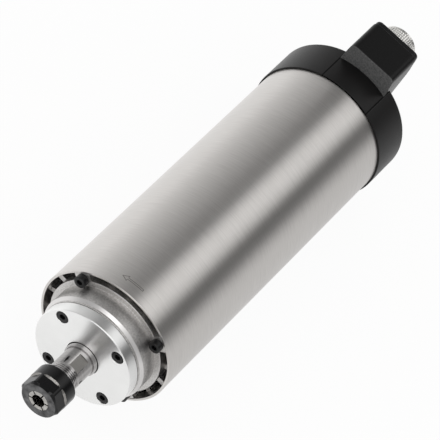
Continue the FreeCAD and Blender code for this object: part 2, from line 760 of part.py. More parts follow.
def rotorCore():
    body = newBody("rotor_core")
    front = coreStart - s.endRingLength
    rear = coreEnd + s.endRingLength
    ringRadius = rotorRadius - s.endRingStep
    turned(body, "stack", [
        (front, coreSeat), (front, ringRadius), (coreStart, ringRadius),
        (coreStart, rotorRadius), (coreEnd, rotorRadius), (coreEnd, ringRadius),
        (rear, ringRadius), (rear, coreSeat)])


def fan():
    body = newBody("fan")
    turned(body, "hub", [(rearRaceEnd, tailRadius), (rearRaceEnd, hubRadius),
                         (hubEnd, hubRadius), (hubEnd, tailRadius)])
    root = hubRadius - 1
    sketch = newSketch(body, "bladeOutline", "XY_Plane", root)
    front = hubEnd - s.bladeLead
    rear = front + s.bladeLength
    outline(sketch, [(front, -s.bladeSweep), (front + s.bladeThickness, -s.bladeSweep),
                     (rear, s.bladeSweep), (rear - s.bladeThickness, s.bladeSweep)])
    blade = pad(body, "blade", sketch, bladeTip - root)
    aroundAxis(body, "blades", [blade], s.bladeCount)


def fanNut():
    span = (tailThread + s.fanNutWall) * 2
    nut = doc.addObject("Part::Cut", "fan_nut")
    nut.Label = "fan_nut"
    nut.Base = prism("fanNutBlank", 6, span / math.sqrt(3), hubEnd, s.fanNutHeight)
    bore = doc.addObject("Part::Cylinder", "fanNutBore")
    bore.Placement = Placement(Vector(0, 0, 0), Rotation(Vector(0, 1, 0), 90))
    bind(bore, "Radius", tailThread + s.seatGap)
    bind(bore, "Height", s.fanNutHeight)
    bore.setExpression("Placement.Base.x", hubEnd.text)
    nut.Tool = bore
    subparts.append(nut)


def fanCover():
    body = newBody("fan_cover")
    edge = s.capEdge
    turned(body, "cup", [
        (capStart, capOverSleeve), (capStart, capRadius), (capEnd - edge, capRadius),
        (capEnd, capRadius - edge), (capEnd, 0), (capInside, 0), (capInside, capBore),
        (capStep, capBore), (capStep, capOverSleeve)])
    postStart = rearPlateEnd
    sketch = newSketch(body, "postOutline", "YZ_Plane", postStart, s.postAngle)
    polygon(sketch, 0, postCircle, s.postRadius)
    post = pad(body, "post", sketch, capInside + 1 - postStart)
    aroundAxis(body, "posts", [post], s.postCount)
    drilled(body, "postHole", postStart, capEnd - postStart, postCircle, s.postAngle,
            s.postCount, holeRadius)
    sketch = newSketch(body, "airSlotOutline", "YZ_Plane", capInside)
    rectangle(sketch, -s.grilleWidth / 2, s.grilleWidth / 2, s.grilleInner, grilleOuter)
    slot = pocket(body, "airSlot", sketch, s.capRearWall)
    aroundAxis(body, "airSlots", [slot], s.grilleCount)
    notchLow = capBore - 0.1
    turned(body, "notch", [(capStart - 1, notchLow), (capStart - 1, capRadius + 1),
                           (capEnd + 1, capRadius + 1), (capEnd + 1, notchLow)],
           "Groove", arcAngle(notchHalf, capRadius))


def boxSection(sketch, low, grow):
    # The outline of the box across the axis: upright sides that lean in above the shoulder.
    outline(sketch, [
        (-boxHalfWidth - grow, low - grow), (boxHalfWidth + grow, low - grow),
        (boxHalfWidth + grow, boxShoulder), (boxHalfTop + grow, boxTop + grow),
        (-boxHalfTop - grow, boxTop + grow), (-boxHalfWidth - grow, boxShoulder)])


def alongAxis(edge):
    direction = edge.valueAt(edge.LastParameter) - edge.valueAt(edge.FirstParameter)
    return direction.Length > 1 and abs(direction.x) > 0.999 * direction.Length


def junctionBox():
    body = newBody("junction_box")
    turned(body, "saddle", [
        (capStart, capOverSleeve), (capStart, capRadius), (capEnd, capRadius),
        (capEnd, capBore), (capStep, capBore), (capStep, capOverSleeve)],
        "Revolution", arcAngle(saddleHalf, capRadius))
    sketch = newSketch(body, "towerOutline", "YZ_Plane", boxFront)
    boxSection(sketch, boxShoulder - 2, 0)
    pad(body, "tower", sketch, boxRear - boxFront)
    turned(body, "ductTrim", [(capStart, 0), (capStart, capBore),
                              (capEnd, capBore), (capEnd, 0)], "Groove")
    sketch = newSketch(body, "caseOutline", "YZ_Plane", capEnd)
    boxSection(sketch, boxBottom, 0)
    case = pad(body, "case", sketch, boxRear - capEnd)
    limit = boxTop.value - 1
    filleted(body, "longEdges", case, lambda edge, middle: alongAxis(edge) and middle.z > limit,
             s.boxRound)
    sketch = newSketch(body, "cavityOutline", "YZ_Plane", capEnd + s.boxWall)
    side = boxHalfTop - s.boxWall + 0.4
    inner = boxHalfTop - s.boxWall - bossWidth
    low = boxBottom + s.boxWall
    high = boxTop - s.boxWall
    outline(sketch, [
        (-inner, low), (inner, low), (inner, low + bossWidth), (side, low + bossWidth),
        (side, high - bossWidth), (inner, high - bossWidth), (inner, high), (-inner, high),
        (-inner, high - bossWidth), (-side, high - bossWidth), (-side, low + bossWidth),
        (-inner, low + bossWidth)])
    pocket(body, "cavity", sketch, boxRear - capEnd)
    sketch = newSketch(body, "wireRoomOutline", "YZ_Plane", boxFront + s.boxWall)
    rectangle(sketch, -inner, inner, capBore + s.boxWall, high)
    pocket(body, "wireRoom", sketch, capEnd - boxFront)
    sketch = newSketch(body, "wireHoleOutline", "YZ_Plane", capEnd)
    polygon(sketch, 0, boxBottom + s.wireHoleRise, s.wireHole)
    pocket(body, "wireHole", sketch, s.boxWall)
    for index, (across, up) in enumerate(plateScrewPlaces()):
        sketch = newSketch(body, "plateTapping%dOutline" % index, "YZ_Plane",
                           boxRear - s.plateScrewLength)
        polygon(sketch, across, up, holeRadius)
        pocket(body, "plateTapping%d" % index, sketch, s.plateScrewLength + 1)


def plateScrewPlaces():
    across = boxHalfTop - s.plateScrewInset
    low = boxBottom + s.plateScrewInset
    high = boxTop - s.plateScrewInset
    return [(-across, low), (across, low), (across, high), (-across, high)]


def boxPlate():
    body = newBody("box_plate")
    sketch = newSketch(body, "plateOutline", "YZ_Plane", boxRear)
    boxSection(sketch, boxBottom, -s.plateInset)
    plate = pad(body, "plate", sketch, s.plateThickness)
    limit = boxTop.value - 1
    filleted(body, "corners", plate, lambda edge, middle: alongAxis(edge) and middle.z > limit,
             s.boxRound)
    sketch = newSketch(body, "socketHoleOutline", "YZ_Plane", boxRear)
    circle(sketch, 0, socketHeight, s.socketRadius + s.holeGap)
    for across, up in plateScrewPlaces():
        polygon(sketch, across, up, holeRadius)
    pocket(body, "holes", sketch, s.plateThickness)
    sketch = newSketch(body, "sinkOutline", "YZ_Plane", plateRear - s.lowHead)
    for across, up in plateScrewPlaces():
        polygon(sketch, across, up, s.headRadius + s.holeGap)
    pocket(body, "sinks", sketch, s.lowHead)


def raised(body):
    # Moves a body that is turned round the axis up to the axis of the socket.
    body.setExpression("Placement.Base.z", socketHeight.text)


def powerSocket():
    shell = newBody("socket_shell")
    flangeStart = boxRear - s.socketFlangeWidth
    rim = plateRear + s.socketReach
    turned(shell, "shell", [
        (flangeStart, socketBore), (flangeStart, shellFlange), (boxRear, shellFlange),
        (boxRear, s.socketRadius), (rim, s.socketRadius), (rim, socketBore)])
    raised(shell)
    ring = newBody("socket_ring")
    ringBore = s.socketRadius + s.seatGap
    ringRadius = s.socketRadius + s.ringWall
    ringEnd = plateRear + s.ringLength
    turned(ring, "ring", [(plateRear, ringBore), (plateRear, ringRadius), (ringEnd, ringRadius),
                          (ringEnd, ringBore)])
    raised(ring)
    insert = newBody("socket_insert")
    insertRadius = socketBore - s.seatGap
    insertEnd = flangeStart + s.insertLength
    turned(insert, "insert", [(flangeStart, 0), (flangeStart, insertRadius),
                              (insertEnd, insertRadius), (insertEnd, 0)])
    raised(insert)
    pins = newBody("socket_pins")
    sketch = newSketch(pins, "pinOutline", "YZ_Plane", insertEnd, 45)
    polygon(sketch, 0, s.pinCircle, s.pinRadius)
    stem = pad(pins, "stem", sketch, s.pinLength)
    aroundAxis(pins, "stems", [stem], s.pinCount)
    raised(pins)


def screw(body, name, seat, direction, distance, angle, count, length, shape):
    # A ring of socket-head screws. Direction is +1 where the shank runs to +X from the seat.
    top = seat - direction * s.headHeight
    sketch = newSketch(body, name + "HeadOutline", "YZ_Plane", seat, angle)
    shape(sketch, 0, distance, s.headRadius)
    head = pad(body, name + "Head", sketch, s.headHeight, direction > 0)
    sketch = newSketch(body, name + "ShankOutline", "YZ_Plane", seat, angle)
    polygon(sketch, 0, distance, s.shankRadius)
    shank = pad(body, name + "Shank", sketch, length, direction < 0)
    sketch = newSketch(body, name + "KeyOutline", "YZ_Plane", top, angle)
    hexagon(sketch, distance, s.keySpan)
    key = pocket(body, name + "Key", sketch, s.keyDepth, direction > 0)
    aroundAxis(body, name + "Ring", [head, shank, key], count)


def plateScrew(body, name, across, up):
    # A screw with a low head, sunk in the box plate.
    seat = plateRear - s.lowHead
    sketch = newSketch(body, name + "HeadOutline", "YZ_Plane", seat)
    polygon(sketch, across, up, s.headRadius)
    pad(body, name + "Head", sketch, s.lowHead)
    sketch = newSketch(body, name + "ShankOutline", "YZ_Plane", seat)
    polygon(sketch, across, up, s.shankRadius)
    pad(body, name + "Shank", sketch, s.plateScrewLength, True)


def screws():
    body = newBody("m3_screws")
    coverSeat = coverFront + s.headHeight + s.holeGap
    screw(body, "cover", coverSeat, 1, coverScrewCircle, s.coverScrewAngle, s.earCount,
          s.coverScrewLength, circle)
    screw(body, "frontEar", 0, 1, earScrewCircle, s.earAngle, s.earCount, s.earScrewLength, circle)
    screw(body, "rearEar", rearPlateEnd, -1, earScrewCircle, s.earAngle, s.earCount,
          s.earScrewLength, polygon)
    screw(body, "post", capEnd, -1, postCircle, s.postAngle, s.postCount,
          capEnd - rearPlateEnd + s.postScrewGrip, polygon)
    for index, (across, up) in enumerate(plateScrewPlaces()):
        plateScrew(body, "plate%d" % index, across, up)


def collet():
    body = newBody("collet")
    coneEnd = colletFront + s.frontCone
    rimEnd = coneEnd + s.colletRim
    grooveEnd = rimEnd + s.grooveWidth
    endRadius = coneRadius - (colletRear - grooveEnd) * s.coneSlope
    turned(body, "turning", [
        (colletFront, s.toolRadius), (colletFront, colletTip), (coneEnd, colletRadius),
        (rimEnd, colletRadius), (rimEnd, grooveRadius), (grooveEnd, grooveRadius),
        (grooveEnd, coneRadius), (colletRear, endRadius), (colletRear, s.toolRadius)])
    sketch = newSketch(body, "slitOutline", "YZ_Plane", colletFront, s.slitAngle)
    rectangle(sketch, -s.slitWidth / 2, s.slitWidth / 2, s.toolRadius / 2, colletRadius + 1)
    slit = pocket(body, "slit", sketch, s.slitLength)
    aroundAxis(body, "slits", [slit], s.slitCount)


def colletNut():
    body = newBody("collet_nut")
    front = colletFront
    rear = front + s.nutLength
    coneEnd = front + s.frontCone
    rimEnd = coneEnd + s.colletRim
    ringStart = rimEnd + s.nutGap * 2
    ringEnd = rimEnd + s.grooveWidth * 0.8
    bore = shaftRadius + s.nutGap
    turned(body, "turning", [
        (front, colletTip + s.nutGap), (front, nutRadius - s.nutChamfer),
        (front + s.nutChamfer, nutRadius), (rear, nutRadius), (rear, bore), (ringEnd, bore),
        (ringEnd, nutRing), (ringStart, nutRing), (ringStart, colletRadius + s.nutGap),
        (coneEnd, colletRadius + s.nutGap)])
    sketch = newSketch(body, "flatOutline", "YZ_Plane", front, s.hexAngle)
    rectangle(sketch, -nutRadius, nutRadius, nutSpan / 2, nutRadius + 1)
    flat = pocket(body, "flat", sketch, s.hexLength)
    aroundAxis(body, "flats", [flat], 6)


def checkAndWrite():
    # Every object has to be sound before the first file is written.
    doc.recompute()
    for item in doc.Objects:
        if "Invalid" in item.State or "Error" in item.State:
            raise RuntimeError("%s failed: %s" % (item.Label, item.State))
    for item in subparts:
        if item.Shape.isNull() or not item.Shape.isValid():
            raise RuntimeError("%s has no valid shape" % item.Label)
    for item in subparts:
        item.Shape.exportStep("parts/%s.step" % item.Label)
        print("%-18s solids %2d  volume %9.1f" % (item.Label, len(item.Shape.Solids), item.Shape.Volume))


def main():
    outerSleeve()
    motorBody()
    frontFlange()
    frontCover()
    rearFlange()
    shaft()
    frontLockNut()
    races()
    cages()
    balls()
    preloadSpring()
    statorCore()
    statorWindings()
    rotorCore()
    fan()
    fanNut()
    fanCover()
    junctionBox()
    boxPlate()
    powerSocket()
    screws()
    collet()
    colletNut()
    checkAndWrite()


main()
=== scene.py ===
# Motor spindle in its studio. The values are in millimetres and degrees, the scene is in metres.
# X is the spindle axis with the nose at -X, and the junction box stands to +Z.
import math

import bmesh
import bpy
import numpy as np
from mathutils import Matrix, Vector


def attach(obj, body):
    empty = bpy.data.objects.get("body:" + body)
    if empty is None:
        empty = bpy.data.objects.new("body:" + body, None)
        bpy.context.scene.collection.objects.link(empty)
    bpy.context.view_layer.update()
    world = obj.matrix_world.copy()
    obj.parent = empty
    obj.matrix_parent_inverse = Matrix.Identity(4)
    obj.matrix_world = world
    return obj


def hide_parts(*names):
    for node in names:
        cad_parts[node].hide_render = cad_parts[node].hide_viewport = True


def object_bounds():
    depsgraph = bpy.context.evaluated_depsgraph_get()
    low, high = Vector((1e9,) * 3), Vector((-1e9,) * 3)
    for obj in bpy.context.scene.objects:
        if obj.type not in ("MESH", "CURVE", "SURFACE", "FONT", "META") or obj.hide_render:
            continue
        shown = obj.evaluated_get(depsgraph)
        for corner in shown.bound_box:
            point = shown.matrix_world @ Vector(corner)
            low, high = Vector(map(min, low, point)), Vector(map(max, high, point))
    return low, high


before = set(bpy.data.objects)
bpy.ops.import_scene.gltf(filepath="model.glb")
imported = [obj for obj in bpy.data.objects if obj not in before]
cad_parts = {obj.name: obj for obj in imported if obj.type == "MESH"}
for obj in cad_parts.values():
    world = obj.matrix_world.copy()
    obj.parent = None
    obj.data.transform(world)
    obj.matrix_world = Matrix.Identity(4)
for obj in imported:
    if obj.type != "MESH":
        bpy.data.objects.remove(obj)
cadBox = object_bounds()
print("frame loaded,", len(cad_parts), "nodes")


# Camera

camera = dict(
    place=(-722.29, -93.61, 988.40),
    right=(0.55621421, -0.73648395, 0.3849898),
    down=(-0.53960425, -0.67238646, -0.5066791),
    forward=(0.63202295, 0.07407998, -0.77140077),
    lens=242.81, sensor=36, near=50, far=20000)


def placeCamera(v=camera):
    # The columns of the camera's matrix are its right, up and backward directions.
    data = bpy.data.cameras.new("camera")
    data.lens = v["lens"]
    data.sensor_width = v["sensor"]
    data.clip_start = v["near"] * 0.001
    data.clip_end = v["far"] * 0.001
    eye = bpy.data.objects.new("camera", data)
    columns = np.array([v["right"], np.negative(v["down"]), np.negative(v["forward"])]).T
    matrix = Matrix(columns.tolist()).to_4x4()
    matrix.translation = Vector(v["place"]) * 0.001
    eye.matrix_world = matrix
    bpy.context.scene.collection.objects.link(eye)
    bpy.context.scene.camera = eye


placeCamera()
print("camera placed")


# Shapes

def rounded(corners, steps=4):
    # Eases each corner (along, out, radius) with a quadratic curve that starts and ends a
    # tangent length from it. Corners with no radius stay sharp.
    spots = np.array([corner[:2] for corner in corners], float)
    before = np.roll(spots, 1, 0) - spots
    after = np.roll(spots, -1, 0) - spots
    shares = np.linspace(0, 1, steps + 1)[:, None]
    out = []
    for index, corner in enumerate(corners):
        radius = corner[2] if len(corner) > 2 else 0
        if not radius:
            out.append(spots[index:index + 1])
            continue
        lengths = [np.linalg.norm(before[index]), np.linalg.norm(after[index])]
        toBefore = before[index] / lengths[0]
        toAfter = after[index] / lengths[1]
        half = math.acos(np.clip(toBefore @ toAfter, -1, 1)) / 2
        reach = min(radius / math.tan(half), 0.49 * min(lengths))
        start = spots[index] + toBefore * reach
        end = spots[index] + toAfter * reach
        out.append(start * (1 - shares) ** 2 + spots[index] * 2 * shares * (1 - shares) + end * shares ** 2)
    return np.concatenate(out)


def around(count, first=0, last=360):
    # Angles in radians from +Z towards +Y: a full turn leaves the last one out.
    return np.radians(np.linspace(first, last, count, endpoint=last - first < 360))


def evenly(count, first=0):
    # Angles in degrees of copies spread evenly round a circle.
    return first + 360 / count * np.arange(count)


def onCircle(distance, angle):
    # (y, z) of a point at an angle from +Z towards +Y.
    return (distance * math.sin(math.radians(angle)), distance * math.cos(math.radians(angle)))


def sweptRound(profile, angles, radius=None, centre=(0, 0)):
    # Turns (station, radius) points round an axis along X: y = c + r sin a, z = c + r cos a.
    # A radius array of rows by columns replaces the profile's own radius where it is given.
    radius = profile[:, 1:2] * np.ones(len(angles)) if radius is None else radius
    x = profile[:, 0:1] * np.ones(len(angles))
    return np.stack([x, centre[0] + radius * np.sin(angles), centre[1] + radius * np.cos(angles)], -1)


def sweptAlong(outline, stations, insets):
    # Carries a closed (y, z) outline along X. At each station it is drawn in along its own normals,
    # which point outwards where the outline runs from +Z towards +Y.
    ahead = np.roll(outline, -1, 0) - np.roll(outline, 1, 0)
    normals = np.stack([-ahead[:, 1], ahead[:, 0]], -1) / np.linalg.norm(ahead, axis=1)[:, None]
    spot = outline[None] - normals[None] * np.asarray(insets, float)[:, None, None]
    x = np.asarray(stations, float)[:, None, None] * np.ones((1, len(outline), 1))
    return np.concatenate([x, spot], -1)


def closedAlong(outline, stations, insets):
    # An outline carried along X whose two ends close on their middle points.
    grid = sweptAlong(outline, stations, insets)
    ends = [np.repeat(grid[index].mean(0, keepdims=True), grid.shape[1], 0)[None] for index in (0, -1)]
    return np.concatenate([ends[0], grid, ends[1]])


def sector(profile, degrees, count=48):
    # Turns a closed profile through part of a turn and closes each end on its own middle point.
    angles = around(count, -degrees / 2, degrees / 2)
    grid = sweptRound(profile, angles)
    ends = [np.repeat(grid[:, index:index + 1].mean(0, keepdims=True), len(profile), 0) for index in (0, -1)]
    return np.concatenate([ends[0], grid, ends[1]], 1)


def gridPiece(name, grids, wrapRows=True, wrapCols=True, sharp=32):
    # Joins grids of points in millimetres, rows by columns, into quads. Rows or columns that
    # come together in one point close the shape there.
    spots, quads, first = [], [], 0
    for grid in grids:
        rows, cols = grid.shape[:2]
        row = np.arange(rows if wrapRows else rows - 1)[:, None]
        col = np.arange(cols if wrapCols else cols - 1)[None, :]
        nextRow, nextCol = (row + 1) % rows, (col + 1) % cols
        corners = [row * cols + col, row * cols + nextCol, nextRow * cols + nextCol, nextRow * cols + col]
        quads.append(np.stack(corners, -1).reshape(-1, 4) + first)
        spots.append(grid.reshape(-1, 3))
        first += rows * cols
    mesh = bpy.data.meshes.new(name)
    mesh.from_pydata((np.concatenate(spots) * 0.001).tolist(), [], np.concatenate(quads).tolist())
    piece = bpy.data.objects.new(name, mesh)
    bpy.context.scene.collection.objects.link(piece)
    tidyMesh(piece, sharp)
    return piece


def tidyMesh(piece, sharp=32):
    # Merges double points, turns faces outwards and keeps edges sharper than the angle crisp.
    work = bmesh.new()
    work.from_mesh(piece.data)
    bmesh.ops.remove_doubles(work, verts=work.verts, dist=2e-6)
    bmesh.ops.dissolve_degenerate(work, edges=work.edges, dist=1e-7)
    bmesh.ops.recalc_face_normals(work, faces=work.faces)
    work.to_mesh(piece.data)
    work.free()
    piece.data.shade_smooth()
    piece.data.set_sharp_from_angle(angle=math.radians(sharp))


def keepShape(piece):
    # Makes the modifiers' result the piece's own mesh.
    bpy.context.view_layer.update()
    graph = bpy.context.evaluated_depsgraph_get()
    old = piece.data
    piece.data = bpy.data.meshes.new_from_object(piece.evaluated_get(graph))
    piece.data.name = old.name
    piece.modifiers.clear()
    bpy.data.meshes.remove(old)


def cutAway(piece, cutter):
    # Takes the cutter's volume out of the piece.
    cut = piece.modifiers.new("cut", "BOOLEAN")
    cut.operation = "DIFFERENCE"
    cut.solver = "EXACT"
    cut.object = cutter
    keepShape(piece)
    bpy.data.objects.remove(cutter)
    tidyMesh(piece)


def dress(piece, body, material, replaced=()):
    # Gives a finished piece its material and its body, and hides the CAD nodes that it stands for.
    piece.data.materials.clear()
    piece.data.materials.append(material)
    even = piece.modifiers.new("evenNormals", "WEIGHTED_NORMAL")
    even.keep_sharp = True
    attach(piece, body)
    if replaced:
        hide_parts(*replaced)


# Materials

def hexColour(code):
    # An sRGB hex value such as "#c8c6c2" as linear colour.
    parts = np.array([int(code[at:at + 2], 16) for at in (1, 3, 5)]) / 255
    linear = np.where(parts <= 0.04045, parts / 12.92, ((parts + 0.055) / 1.055) ** 2.4)
    return (*linear.tolist(), 1.0)


def perMm(size):
    # Texture scale for a feature of that many millimetres.
    return 1000 / size


def addNode(tree, kind, settings=(), inputs=()):
    node = tree.nodes.new("ShaderNode" + kind)
    for name, value in dict(settings).items():
        setattr(node, name, value)
    for name, value in dict(inputs).items():
        if isinstance(value, bpy.types.NodeSocket):
            tree.links.new(value, node.inputs[name])
        else:
            node.inputs[name].default_value = value
    return node


def newMaterial(name):
    material = bpy.data.materials.new(name)
    material.use_nodes = True
    tree = material.node_tree
    place = addNode(tree, "TexCoord").outputs["Object"]
    return material, tree, tree.nodes["Principled BSDF"], place


def stretched(tree, place, x, y, z):
    # Object coordinates multiplied by three scales, to draw a pattern out along an axis.
    return addNode(tree, "Mapping", {}, {"Vector": place, "Scale": (x, y, z)}).outputs["Vector"]


def tint(tree, under, over, share):
    # Lays one colour over another where the share is 1. Each is a hex value or a pattern's socket.
    ends = [hexColour(end) if isinstance(end, str) else end for end in (under, over)]
    return addNode(tree, "Mix", {"data_type": "RGBA"}, {0: share, 6: ends[0], 7: ends[1]}).outputs[2]


def between(tree, pattern, low, high):
    # Runs a 0 to 1 pattern from one number to another, or from one hex colour to another.
    if isinstance(low, str):
        return tint(tree, low, high, pattern)
    return addNode(tree, "MapRange", {}, {"Value": pattern, "To Min": low, "To Max": high}).outputs["Result"]


def shade(tree, shader, pattern, low, high, socket):
    # Drives one of the shader's own values with a pattern.
    tree.links.new(between(tree, pattern, low, high), shader.inputs[socket])


def bump(tree, shader, height, depth):
    # Depth is the height of the pattern in millimetres.
    node = addNode(tree, "Bump", {}, {"Height": height, "Distance": depth * 0.001, "Strength": 1.0})
    tree.links.new(node.outputs["Normal"], shader.inputs["Normal"])


def turnedMarks(tree, shader, amount):
    # Marks that run round the X axis stretch the highlights across them, a quarter turn from the tangent.
    shader.inputs["Anisotropic"].default_value = amount
    shader.inputs["Anisotropic Rotation"].default_value = 0.25
    tangent = addNode(tree, "Tangent", {"direction_type": "RADIAL", "axis": "X"})
    tree.links.new(tangent.outputs["Tangent"], shader.inputs["Tangent"])


def mask(tree, value, off, on):
    # Rises from 0 to 1 as the value goes from the first number of millimetres to the second.
    node = addNode(tree, "MapRange", {}, {"Value": value, "From Min": off * 0.001, "From Max": on * 0.001})
    return node.outputs["Result"]


def overlap(tree, first, second):
    # Where two masks hold at once.
    return addNode(tree, "Math", {"operation": "MULTIPLY"}, {0: first, 1: second}).outputs[0]


def fromAxis(tree, place):
    # Distance from the X axis.
    flat = stretched(tree, place, 0, 1, 1)
    return addNode(tree, "VectorMath", {"operation": "LENGTH"}, {"Vector": flat}).outputs["Value"]


def alongAxis(tree, place):
    # Station on the X axis.
    return addNode(tree, "SeparateXYZ", {}, {"Vector": place}).outputs["X"]


def brushedStainless():
    # Stainless tube, brushed round and round: silky, with short bright lines and soft clouds.
    material, tree, shader, place = newMaterial("brushed_stainless")
    shader.inputs["Metallic"].default_value = 1.0
    lines = addNode(tree, "TexNoise", {}, {
        "Vector": stretched(tree, place, perMm(0.4), perMm(9), perMm(9)), "Scale": 1.0, "Detail": 2.0})
    clouds = addNode(tree, "TexNoise", {}, {"Vector": place, "Scale": perMm(14), "Detail": 2.0})
    shade(tree, shader, lines.outputs["Fac"], "#c3c0bd", "#dad7d4", "Base Color")
    shade(tree, shader, clouds.outputs["Fac"], 0.28, 0.32, "Roughness")
    bump(tree, shader, lines.outputs["Fac"], 0.0008)
    turnedMarks(tree, shader, 0.8)
    return material


def blastedAluminium(v):
    # Turned aluminium, bead-blasted after turning: an even grey with a fine sparkle. The cone behind
    # the cover was cut afterwards, so it is bright and smoother.
    material, tree, shader, place = newMaterial("bead_blasted_aluminium")
    shader.inputs["Metallic"].default_value = 1.0
    grain = addNode(tree, "TexNoise", {}, {"Vector": place, "Scale": perMm(v["grain"]), "Detail": 3.0})
    x = alongAxis(tree, place)
    cut = overlap(tree, mask(tree, x, v["landEnd"] - v["blur"], v["landEnd"]),
                  mask(tree, x, v["coneEnd"] + v["blur"], v["coneEnd"]))
    colour = between(tree, grain.outputs["Fac"], *v["tones"])
    tree.links.new(tint(tree, colour, v["cutTone"], cut), shader.inputs["Base Color"])
    rough = between(tree, grain.outputs["Fac"], *v["rough"])
    rough = addNode(tree, "Math", {"operation": "MULTIPLY_ADD"}, {0: cut, 1: v["cutRough"], 2: rough})
    tree.links.new(rough.outputs[0], shader.inputs["Roughness"])
    bump(tree, shader, grain.outputs["Fac"], 0.012)
    return material


def faceTurnedAluminium():
    # Aluminium faced on a lathe: nearly white, with rings too fine to see that fan the highlight out.
    material, tree, shader, place = newMaterial("face_turned_aluminium")
    shader.inputs["Metallic"].default_value = 1.0
    clouds = addNode(tree, "TexNoise", {}, {"Vector": place, "Scale": perMm(7), "Detail": 2.0})
    shade(tree, shader, clouds.outputs["Fac"], "#ececeb", "#f4f4f3", "Base Color")
    shade(tree, shader, clouds.outputs["Fac"], 0.28, 0.31, "Roughness")
    turnedMarks(tree, shader, 0.7)
    return material


def groundSteel(v):
    # Bearing steel ground between centres: nearly a mirror, with faint rings, two dull milled flats
    # and painted shade in the thread's root. Both masks start a little under the ground surface.
    material, tree, shader, place = newMaterial("ground_steel")
    shader.inputs["Metallic"].default_value = 1.0
    lines = addNode(tree, "TexNoise", {}, {
        "Vector": stretched(tree, place, perMm(0.4), perMm(20), perMm(20)), "Scale": 1.0, "Detail": 2.0})
    x, distance = alongAxis(tree, place), fromAxis(tree, place)
    milled = overlap(tree, mask(tree, distance, v["radius"] - 0.03, v["radius"] - 0.07),
                     mask(tree, x, v["flatFront"] - 0.2, v["flatFront"]))
    # painted shade: the thread's root is darkened to stand for the shade in its groove
    rootShade = overlap(tree, mask(tree, distance, v["radius"] - 0.2, v["radius"] - 0.35),
                   mask(tree, x, v["threadEnd"] + 0.1, v["threadEnd"] - 0.1))
    colour = between(tree, lines.outputs["Fac"], *v["tones"])
    colour = tint(tree, colour, v["milledTone"], milled)
    tree.links.new(tint(tree, colour, v["rootShadeTone"], rootShade), shader.inputs["Base Color"])
    smooth = between(tree, lines.outputs["Fac"], *v["rough"])
    rough = addNode(tree, "Math", {"operation": "MULTIPLY_ADD"}, {0: milled, 1: v["milledRough"], 2: smooth})
    tree.links.new(rough.outputs[0], shader.inputs["Roughness"])
    bump(tree, shader, lines.outputs["Fac"], 0.001)
    turnedMarks(tree, shader, 0.4)
    return material


def blackOxide(name, dark, pale, rough, shine):
    # Blackened steel, oiled: deep black with a soft sheen and a faint mottle.
    material, tree, shader, place = newMaterial(name)
    mottle = addNode(tree, "TexNoise", {}, {"Vector": place, "Scale": perMm(1.2), "Detail": 4.0})
    shade(tree, shader, mottle.outputs["Fac"], dark, pale, "Base Color")
    shade(tree, shader, mottle.outputs["Fac"], rough - 0.06, rough + 0.06, "Roughness")
    shader.inputs["Specular IOR Level"].default_value = shine
    bump(tree, shader, mottle.outputs["Fac"], 0.004)
    return material


def nutOxide(v):
    # Blackened and oiled steel: glossy black flats, a worn end face with pale patches, and a turned
    # step behind the hexagon that is pale grey and metallic as a painted highlight. The step lies
    # between two stations and two radii.
    material, tree, shader, place = newMaterial("black_oxide_nut")
    mottle = addNode(tree, "TexNoise", {}, {"Vector": place, "Scale": perMm(1.2), "Detail": 4.0})
    patches = addNode(tree, "TexNoise", {}, {"Vector": place, "Scale": perMm(3.0), "Detail": 5.0})
    spread = addNode(tree, "MapRange", {}, {
        "Value": patches.outputs["Fac"], "From Min": 0.3, "From Max": 0.7})
    x, distance = alongAxis(tree, place), fromAxis(tree, place)
    face = mask(tree, x, v["front"] + 0.2, v["front"] + 0.05)
    start, inside = v["hexEnd"] - v["slope"], v["span"] / 2
    stations = overlap(tree, mask(tree, x, start, start + 0.1),
                       mask(tree, x, v["hexEnd"] + 0.1, v["hexEnd"]))
    radii = overlap(tree, mask(tree, distance, inside + 0.1, inside + 0.2),
                    mask(tree, distance, v["radius"] - 0.03, v["radius"] - 0.08))
    step = overlap(tree, stations, radii)
    colour = between(tree, mottle.outputs["Fac"], *v["black"])
    worn = between(tree, spread.outputs["Result"], *v["worn"])
    colour = tint(tree, colour, worn, face)
    # painted highlight: the step behind the hexagon is pale grey and metallic where light would glint on it
    tree.links.new(tint(tree, colour, v["stepHighlight"], step), shader.inputs["Base Color"])
    tree.links.new(step, shader.inputs["Metallic"])
    shade(tree, shader, mottle.outputs["Fac"], *v["rough"], "Roughness")
    shader.inputs["Specular IOR Level"].default_value = v["shine"]
    bump(tree, shader, mottle.outputs["Fac"], 0.003)
    return material


def springSteel():
    # Hardened collet steel, ground: bright, with a hint of straw.
    material, tree, shader, place = newMaterial("ground_spring_steel")
    shader.inputs["Metallic"].default_value = 1.0
    grain = addNode(tree, "TexNoise", {}, {"Vector": place, "Scale": perMm(1.4), "Detail": 3.0})
    shade(tree, shader, grain.outputs["Fac"], "#7d7b76", "#d6d4d0", "Base Color")
    shade(tree, shader, grain.outputs["Fac"], 0.28, 0.34, "Roughness")
    return material


